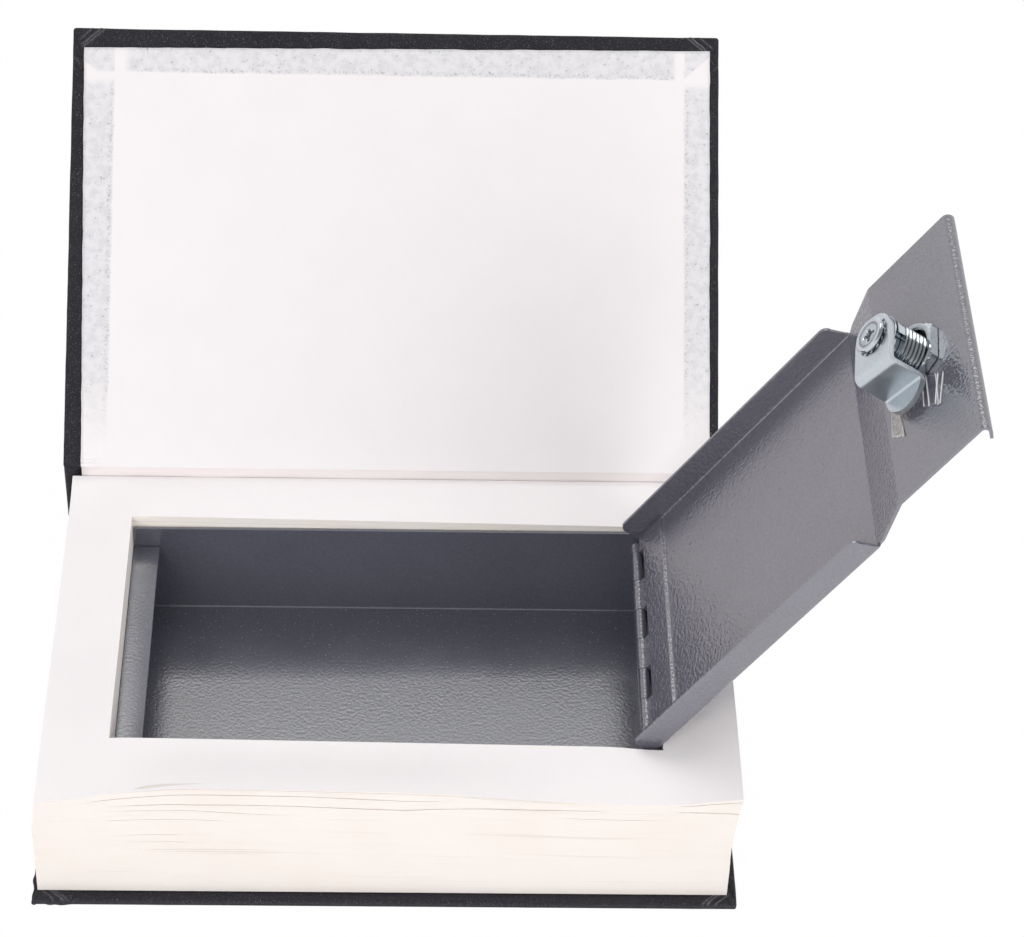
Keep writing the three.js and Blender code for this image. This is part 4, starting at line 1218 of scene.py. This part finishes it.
def make_lid(paint):
    """One folded sheet: panel with two side flanges, joggle, sunk lock plate and end lip."""
    low, high = box_in(LID, "lid_panel")
    nut_low, _ = box_in(LOCK, "lock_nut")
    plate = nut_low.z - 0.3 * MM - SHEET / 2
    middle = low.z + SHEET / 2
    free = low.z + FLANGE_HEIGHT
    root = low.x + FLANGE_ROOT
    end = high.x - PLATE_LENGTH - JOGGLE_RUN - FLANGE_SHORT
    foot = end + FLANGE_LEAN
    base = middle + FOLD_RADIUS

    def flange_top(x):
        if x < root + FLANGE_CORNER:
            return free - FLANGE_CORNER + circle(FLANGE_CORNER, root + FLANGE_CORNER - x)
        if x > end:
            slope = (free - FLANGE_NOSE - middle) / FLANGE_LEAN
            return max(free - FLANGE_NOSE - (x - end) * slope, middle + 0.3 * MM)
        return free - FLANGE_NOSE + circle(FLANGE_NOSE, max(0.0, x - (end - FLANGE_NOSE)))

    marks = [root, low.x + SLOT_DEPTH]
    marks += [root + FLANGE_CORNER * (1 - math.cos(math.pi / 2 * k / 6)) for k in range(1, 7)]
    marks += [end - FLANGE_NOSE * (1 - math.sin(math.pi / 2 * k / 5)) for k in range(6)]
    marks += [end + FLANGE_LEAN * k / 3 for k in range(1, 4)]
    line = lid_profile(low, high, plate, marks)
    slots = box_knuckles()
    fold = FOLD_RADIUS + SHEET / 2
    ys = set(between(low.y + fold, high.y - fold, 4 * MM))
    for span in slots:
        ys |= set(span)
    ys = sorted(ys)
    points = [Vector((p.x, y, p.y)) for p in line for y in ys]
    width = len(ys)
    faces = []
    for i, j in ((i, j) for i in range(len(line) - 1) for j in range(width - 1)):
        x, y = (line[i].x + line[i + 1].x) / 2, (ys[j] + ys[j + 1]) / 2
        if x > low.x + SLOT_DEPTH or not any(a < y < b for a, b in slots):
            a = i * width + j
            faces.append((a, a + 1, a + 1 + width, a + width))

    turn = max(range(len(line)), key=lambda i: line[i].x)
    for column, edge, inward_y in ((0, low.y, 1), (width - 1, high.y, -1)):
        previous = None
        for i, p in enumerate(line):
            on_flange = root - 0.01 * MM <= p.x <= foot + 0.01 * MM and i < turn
            strip = [i * width + column]
            if on_flange:
                for inset, height in flange_strip(flange_top(p.x), base, middle, p.y - middle):
                    strip.append(len(points))
                    points.append(Vector((p.x, edge + inward_y * (SHEET / 2 + inset), height)))
            else:
                strip.append(len(points))
                points.append(Vector((p.x, edge, p.y)))
            if previous and len(previous) == len(strip):
                for k in range(len(strip) - 1):
                    faces.append((previous[k], previous[k + 1], strip[k + 1], strip[k]))
            elif previous:
                faces.append((previous[0], previous[1], strip[1], strip[0]))
            previous = strip
    points = [LID @ p for p in points]
    lid = add_piece("lid_sheet", points, faces, "lid", [paint], sharp=50)
    sheet_metal(lid, SHEET, 0.22 * MM)
    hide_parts("lid_panel")


def make_leaf_bead(paint):
    """Paint gathered along the far edge of the hinge leaf, where it lies on the lid."""
    low, high = box_in(LID, "lid_hinge_leaf")
    lid_low, _ = box_in(LID, "lid_panel")
    panel = lid_low.z + SHEET
    top = panel + 1.1 * MM
    profile = (
        (-0.5 * MM, panel),
        (-0.5 * MM, top - 0.02 * MM),
        (-0.2 * MM, top + 0.04 * MM),
        (0.15 * MM, top - 0.1 * MM),
        (0.35 * MM, top - 0.6 * MM),
        (0.6 * MM, panel + 0.12 * MM),
        (0.9 * MM, panel - 0.02 * MM),
    )
    points = []
    ys = between(low.y - 0.4 * MM, high.y + 0.4 * MM, 3 * MM)
    for y in ys:
        sway = uneven(Vector((0, y, 0)), 20 * MM, 0.2 * MM)
        points += [LID @ Vector((high.x + x + sway, y, z)) for x, z in profile]
    faces = grid_faces(len(ys), len(profile)) + end_faces(len(ys), len(profile))
    add_piece("hinge_leaf_bead", points, faces, "lid", [paint], sharp=60)


def height_on(path, x):
    """Height of a path of (x, height) points at x."""
    for a, b in zip(path, path[1:]):
        if a.x <= x <= b.x and b.x > a.x:
            return a.y + (b.y - a.y) * (x - a.x) / (b.x - a.x)
    return path[-1].y


def box_knuckles():
    """Front and back end of each slot that clears a knuckle of the box's leaf."""
    points = points_in(BOOK, "box_hinge_leaf")
    pin_z = HINGES["lid_hinge"]["pos_m"][2]
    on_barrel = points[points[:, 2] > pin_z + 1.2 * MM]
    ends = sorted(set(np.round(on_barrel[:, 1], 5)))
    clear = 0.6 * MM
    return [(a - clear, b + clear) for a, b in zip(ends[::2], ends[1::2])]


# The lock

def turned(name, profile, body, material, place, reshape=None, steps=144, closed=True, sharp=35):
    """A turned zinc part: a profile of (radius, height) spun round the axis.

    reshape(angle, radius, height, k) moves a point of the profile, for flats, threads, teeth and recesses,
    and gives the share of painted shade there: darkening where grooves and recesses lie in shade."""
    points = []
    painted_shade = []
    count = len(profile)
    for s in range(steps):
        angle = math.tau * s / steps
        for k, (radius, height) in enumerate(profile):
            shade_share = 0.0
            if reshape:
                radius, height, shade_share = reshape(angle, radius, height, k)
            painted_shade.append(shade_share)
            points.append(Vector((radius * math.cos(angle), radius * math.sin(angle), height)))
    faces = []
    spans = count if closed else count - 1
    for s in range(steps):
        n = (s + 1) % steps
        for k in range(spans):
            m = (k + 1) % count
            faces.append((s * count + k, n * count + k, n * count + m, s * count + m))
    return add_piece(
        name, points, faces, body, [material], place, sharp=sharp,
        attributes={"painted_shade": painted_shade})


BARREL_RADIUS = 9.5 * MM
BARREL_FLATS = 16.4 * MM
FLAT_TURN = math.radians(30)
BORE = 6.5 * MM
THREAD_PITCH = 1.5 * MM
THREAD_DEPTH = 0.7 * MM
NOTCH_START = math.radians(-126)
NOTCH_SWEEP = math.radians(104)
NOTCH_DEPTH = 3.6 * MM


def make_barrel(zinc):
    """Threaded barrel with two flats and the notch that the stop washer's lug turns in."""
    low, high = box_in(LOCK, "lock_barrel")
    bezel_inner = low.z + 2.2 * MM
    thread_end = high.z - 3.2 * MM
    heights = between(bezel_inner - 0.2 * MM, high.z - 0.4 * MM, 0.12 * MM)
    chamfer = 0.35 * MM
    profile = [(BARREL_RADIUS, z) for z in heights]
    profile += [(BARREL_RADIUS - chamfer, high.z), (BORE, high.z), (BORE, heights[0])]
    last = len(heights) - 1

    def reshape(angle, r, z, k):
        if k > last + 1:
            return r, z, 0.0
        here = r
        shade_share = 0.0
        if k <= last:
            turn = z / THREAD_PITCH - angle / math.tau
            wave = abs(2 * (turn - math.floor(turn)) - 1)
            fade = 1 - smooth(thread_end - 0.7 * MM, thread_end + 0.5 * MM, z)
            here = r - THREAD_DEPTH * wave ** 0.8 * fade - 0.25 * MM * (1 - fade)
            # Painted shade in the thread's grooves.
            shade_share = smooth(0.45, 0.95, wave) * fade
        flat = BARREL_FLATS / 2 / max(abs(math.cos(angle - FLAT_TURN)), 1e-6)
        return min(here, flat), z, shade_share if here < flat else 0.0

    barrel = turned("lock_body", profile, None, zinc, LOCK, reshape, sharp=60)
    outline = [(0.0, 0.0)]
    for k in range(7):
        angle = NOTCH_START + NOTCH_SWEEP * k / 6
        outline.append((2 * BARREL_RADIUS * math.cos(angle), 2 * BARREL_RADIUS * math.sin(angle)))
    cut_away(barrel, *prism(outline, high.z - NOTCH_DEPTH, high.z + MM), LOCK)
    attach(barrel, "lid")
    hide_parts("lock_barrel")

    rim = high.x
    face = low.z
    bezel = [
        (BORE, bezel_inner),
        (BORE, face + 0.25 * MM),
        (BORE + 0.4 * MM, face),
        (rim - 1.6 * MM, face),
        (rim - 0.9 * MM, face + 0.3 * MM),
        (rim - 0.15 * MM, face + 1.3 * MM),
        (rim, face + 1.6 * MM),
        (rim, bezel_inner),
    ]
    cap = turned("lock_bezel", bezel, "lid", zinc, LOCK, steps=96)
    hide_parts("lock_barrel")


def make_nut(zinc):
    """Hexagon nut, chamfered toward its outer face."""
    low, high = box_in(LOCK, "lock_nut")
    flats = 23.3 * MM
    rest = math.radians(21.6)
    corner = flats / math.sqrt(3)
    chamfer = 0.9 * MM
    bore = 9.7 * MM
    profile = [
        (bore, low.z),
        (corner, low.z),
        (corner, low.z + 0.1 * MM),
        (corner, high.z - chamfer),
        (corner - 0.5 * (corner - flats / 2), high.z - 0.45 * MM),
        (flats / 2 + 0.1 * MM, high.z),
        (bore + 0.5 * MM, high.z),
        (bore, high.z - 0.5 * MM),
    ]

    def reshape(angle, r, z, k):
        # Painted shade in the nut's bore and on its inner chamfer.
        if k in (0, 6, 7):
            return r, z, 0.5
        turn = (angle - rest) % (math.pi / 3) - math.pi / 6
        face = flats / 2 / math.cos(turn)
        ease = 0.12 * MM * (1 - smooth(0, 0.05, math.pi / 6 - abs(turn)))
        return min(r, face - ease), z, 0.0

    nut = turned("lock_nut_visual", profile, "lid", zinc, LOCK, reshape, sharp=25)
    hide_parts("lock_nut")


CAM_SHEET = 2.0 * MM
CAM_WIDTH = 17.0 * MM
CAM_TIP_REACH = 22.8 * MM
CAM_WEB_REACH = 15.0 * MM
CAM_BEND = 1.9 * MM


def make_cam(zinc):
    """Cranked cam: flat round the screw, web bent back toward the lid, flat tip."""
    low, high = box_in(CAM, "lock_cam")
    flat = high.z - CAM_SHEET / 2
    tip = low.z + CAM_SHEET / 2
    web = CAM_WEB_REACH - CAM_SHEET / 2
    radius = CAM_WIDTH / 2
    centre = CAM_TIP_REACH - radius
    corners = [(-radius, flat), (web, flat), (web, tip), (CAM_TIP_REACH, tip)]
    path = rounded_path(corners, [CAM_BEND, CAM_BEND], 0.9 * MM)

    # Both round ends need points closer together than the path's
    angles = [math.pi / 2 * k / 12 for k in range(13)]
    fine_start = [Vector((-radius * math.cos(angle), flat)) for angle in angles[:10]]
    fine_end = [Vector((centre + radius * math.sin(angle), tip)) for angle in angles[3:]]
    fine_end = [p for p in fine_end if p.x > web + CAM_BEND]
    apart, level = 0.3 * MM, 0.01 * MM
    line = [p for p in path if p.x > fine_start[-1].x + apart or p.y < flat - level]
    line = [p for p in line if not (p.y < tip + level and p.x > fine_end[0].x - apart)]
    line = fine_start + line + fine_end
    across = 16
    points = []
    for p in line:
        half = circle(radius, p.x if p.x < 0 else max(0.0, p.x - centre))
        points += [Vector((p.x, half * (2 * k / across - 1), p.y)) for k in range(across + 1)]
    faces = grid_faces(len(line), across + 1)
    cam = add_piece("cam_visual", points, faces, "key_plug", [zinc], CAM, sharp=60)
    sheet_metal(cam, CAM_SHEET, 0.32 * MM, segments=3)
    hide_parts("lock_cam")


def make_screw(zinc):
    """Cheese-headed screw with a raised rim and a crossed recess."""
    low, high = box_in(CAM, "cam_screw")
    head = 12.5 * MM / 2
    head_height = 1.2 * MM
    shank = 2.0 * MM
    top = high.z
    radii = between(0.0, 4.2 * MM, 0.2 * MM)
    profile = [(r, top - 0.28 * MM) for r in radii]
    profile += [
        (head - 1.7 * MM, top - 0.26 * MM),
        (head - 1.3 * MM, top - 0.05 * MM),
        (head - 0.9 * MM, top),
        (head - 0.3 * MM, top - 0.12 * MM),
        (head, top - 0.42 * MM),
        (head, top - head_height),
        (shank, top - head_height),
        (shank, low.z + 0.5 * MM),
        (shank - 0.5 * MM, low.z),
        (0.0, low.z),
    ]
    arm, wide, depth = 2.9 * MM, 0.7 * MM, 0.85 * MM
    last = len(radii)

    def reshape(angle, r, z, k):
        # Painted shade at the foot of the raised rim, in the crossed recess and round its middle.
        if k >= last:
            return r, z, 0.8 * ridge(k - last, 0.5, 1.0)
        x, y = abs(r * math.cos(angle)), abs(r * math.sin(angle))
        along, aside = max(x, y), min(x, y)
        width = wide * (1.25 - 0.35 * along / arm)
        sunk = 1 - smooth(width - 0.12 * MM, width + 0.12 * MM, aside)
        sunk *= 1 - smooth(arm - 0.5 * MM, arm, along)
        core = 1 - smooth(0.9 * MM, 1.7 * MM, r)
        return r, z - depth * max(sunk, core), max(0.9 * sunk, core, 0.6 * smooth(3.6 * MM, 4.2 * MM, r))

    screw = turned(
        "cam_screw_visual", profile, "key_plug", zinc, CAM, reshape, steps=120, closed=False, sharp=50)
    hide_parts("cam_screw")


def make_cam_washer(zinc):
    """Toothed washer under the screw's head."""
    low, high = box_in(CAM, "cam_washer")
    teeth = 14
    outer, inner = 6.9 * MM, 2.2 * MM
    tooth = 0.8 * MM
    profile = [(inner, low.z), (outer, low.z), (outer, high.z), (inner, high.z)]

    def toothed(angle, r, z, k):
        # Painted shade in the washer's bore and in the gaps between its teeth.
        if k in (0, 3):
            return r, z, 1.0
        wave = math.cos(angle * teeth)
        twist = 0.12 * MM * math.sin(angle * teeth) * (1 if k == 2 else 0.5)
        return r - tooth * (1 - smooth(-0.35, 0.35, wave)), z + twist, 1 - smooth(-0.6, 0.1, wave)

    washer = turned("cam_washer_visual", profile, "key_plug", zinc, CAM, toothed, steps=168)
    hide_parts("cam_washer")


# The ledge that the cam catches under

def make_ledge(paint):
    """Folded ledge: its top reaches over the box's low wall, to within a hair of the pages."""
    low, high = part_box("latch_ledge")
    wall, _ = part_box("steel_box")
    sheet = 1.2 * MM
    cover = 0.14 * MM
    edge = 0.3 * MM
    left = wall.x - 0.4 * MM
    top = high.z + cover
    profile = (
        (left, high.z + 0.02 * MM),
        (left + 0.08 * MM, top),
        (high.x - edge, top),
        (high.x, top - edge),
        (high.x, high.z - sheet + edge),
        (high.x - edge, high.z - sheet),
        (low.x + sheet, high.z - sheet),
        (low.x + sheet, low.z),
        (low.x, low.z),
        (low.x, high.z + 0.02 * MM),
    )
    points = []
    ys = between(low.y + 0.05 * MM, high.y - 0.05 * MM, 4 * MM)
    for y in ys:
        sway = uneven(Vector((0, y, 7)), 30 * MM, 0.1 * MM)
        for x, z in profile:
            points.append(Vector((x + (sway if x > low.x + sheet else 0), y, z)))
    faces = sleeve_faces(len(ys), len(profile))
    ledge = add_piece("ledge_sheet", points, faces, "book", [paint], sharp=50)
    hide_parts("latch_ledge")


# Remains of packing tape on the lid

TAPE_1 = ((156.9, -6.3), (166.9, -14.1), (163.8, -26.6), (155.6, -20.5))
TAPE_1_CREASES = (
    (0.03, 0.06, 0.02), (0.2, 0.34, 0.025), (0.63, 0.82, 0.02), (0.74, 0.66, 0.03), (0.97, 0.9, 0.02))
TAPE_2 = ((141.5, -9.0), (145.5, -10.5), (146.0, -25.5), (140.5, -21.5))
TAPE_2_CREASES = ((0.1, 0.0, 0.03), (0.8, 1.0, 0.03))


def make_film(name, colours):
    """Packing tape: cloudy, and white along its creases."""
    look = Look(name, roughness=0.22, specular=1.0)
    cloud = look.noise(1.4 * MM, detail=3)
    base = look.blend(look.range(cloud, 0.35, 0.65), *colours)
    look.colour(look.blend(look.attribute("crease"), base, (0.9, 0.9, 0.9)))
    look.bump(cloud, 0.08 * MM)
    return look.material


def make_tape(name, film, corners, creases, rim):
    """A scrap of tape between four corners on the lid, with creases across it and pale cut edges.

    Corners are (along, across) in the lid's own axes, in order round the scrap, in mm. A crease
    gives its place along the first side, the same on the opposite side, and its width, as shares."""
    nut_low, _ = box_in(LOCK, "lock_nut")
    surface = nut_low.z - 0.25 * MM
    steps = 60
    rows = 12
    first, second, third, fourth = [Vector(corner) * MM for corner in corners]
    points = []
    pale = []
    for i in range(rows + 1):
        t = i / rows
        for k in range(steps + 1):
            u = k / steps
            ragged = 0.35 * MM * noise.noise(Vector((3 * t, 7 * u, 1))) * (1 if i in (0, rows) else 0)
            place = first.lerp(second, u).lerp(fourth.lerp(third, u), t)
            raised = max(ridge(u - (a + (b - a) * t), width, 1.0) for a, b, width in creases)
            edge = rim if i in (0, rows) or k in (0, steps) else 0.0
            points.append(Vector((place.x + ragged, place.y + ragged, surface + 0.35 * MM * raised)))
            pale.append(max(raised, edge))
    points = [LID @ p for p in points]
    faces = grid_faces(rows + 1, steps + 1)
    scrap = add_piece(name, points, faces, "lid", [film], attributes={"crease": pale})
    thicken(scrap, 0.08 * MM)


# The CAD nodes that keep their shape

def dress_nodes(looks):
    """Gives each carried-over node its finish, and softens its edges by a width in mm."""
    finish = {
        "back_board": ("greyboard", 0.08),
        "spine_board": ("greyboard", 0.08),
        "front_board": ("greyboard", 0.08),
        "back_endpaper": ("paper", 0.05),
        "spine_lining": ("lining", 0.1),
        "steel_box": ("box_paint", 0.22),
        "box_hinge_leaf": ("hinge_paint", 0.2),
        "lid_hinge_leaf": ("lid_paint", 0.3),
        "hinge_pin": ("zinc", 0.25),
        "lock_plug": ("zinc", 0.12),
        "stop_washer": ("zinc", 0.12),
    }
    wafers = 5
    for k in range(1, wafers + 1):
        finish[f"wafer_{k}"] = ("brass", 0.08)
        finish[f"wafer_spring_{k}"] = ("spring_steel", 0.08)
    for name, (look, edge) in finish.items():
        node = frame["nodes"][name]
        node.data.materials.clear()
        node.data.materials.append(looks[look])
        node.data.polygons.foreach_set("use_smooth", [True] * len(node.data.polygons))
        soften(node, edge * MM)


make_camera()
make_world()
make_floor()
make_lamps()
bpy.context.scene.view_settings.view_transform = "Standard"

cloth = make_cloth()
paper = make_paper("paper", PAPER)
zinc = make_zinc("zinc_plate", BRIGHT_ZINC)
lid_paint = make_paint("lid_paint", LID_GREY_LIT, LID_GLOSS, 0.26 * MM, even_dust(0.2))
dress_nodes({
    "greyboard": make_greyboard(),
    "paper": paper,
    "lining": make_lining(),
    "box_paint": make_paint("box_paint", BOX_GREY_SHADED, BOX_GLOSS, 0.055 * MM, box_dust),
    "hinge_paint": make_paint("hinge_paint", BOX_GREY_SHADED, LID_GLOSS, 0.07 * MM, even_dust(0.3)),
    "lid_paint": lid_paint,
    "zinc": zinc,
    "brass": make_brass(),
    "spring_steel": make_spring_steel(),
})
make_case(cloth)
make_front_cover(cloth, make_pastedown())
make_front_joint(cloth)
# The gutter fold gets a darker copy of the end paper: painted shade.
make_gutter_fold(make_paper("gutter_paper_shaded", GUTTER_SHADED))
# The window's walls get a lighter copy of the page edges: painted light.
make_pages(
    make_page_edges("page_edges", PAGE_EDGES), paper, make_page_edges("window_edges_lit", WINDOW_EDGES_LIT))
make_ledge(make_paint("ledge_paint", BOX_GREY_SHADED, BOX_GLOSS, 0.04 * MM, even_dust(0.9)))
make_lid(lid_paint)
make_leaf_bead(lid_paint)
make_barrel(zinc)
make_nut(zinc)
make_cam(make_zinc("zinc_plate_worn", WORN_ZINC))
make_screw(zinc)
make_cam_washer(zinc)
make_tape("tape_scrap_1", make_film("clear_tape", LID_GREY_LIT), TAPE_1, TAPE_1_CREASES, 0.0)
make_tape("tape_scrap_2", make_film("brown_tape", TAPE_BROWN), TAPE_2, TAPE_2_CREASES, 0.4)
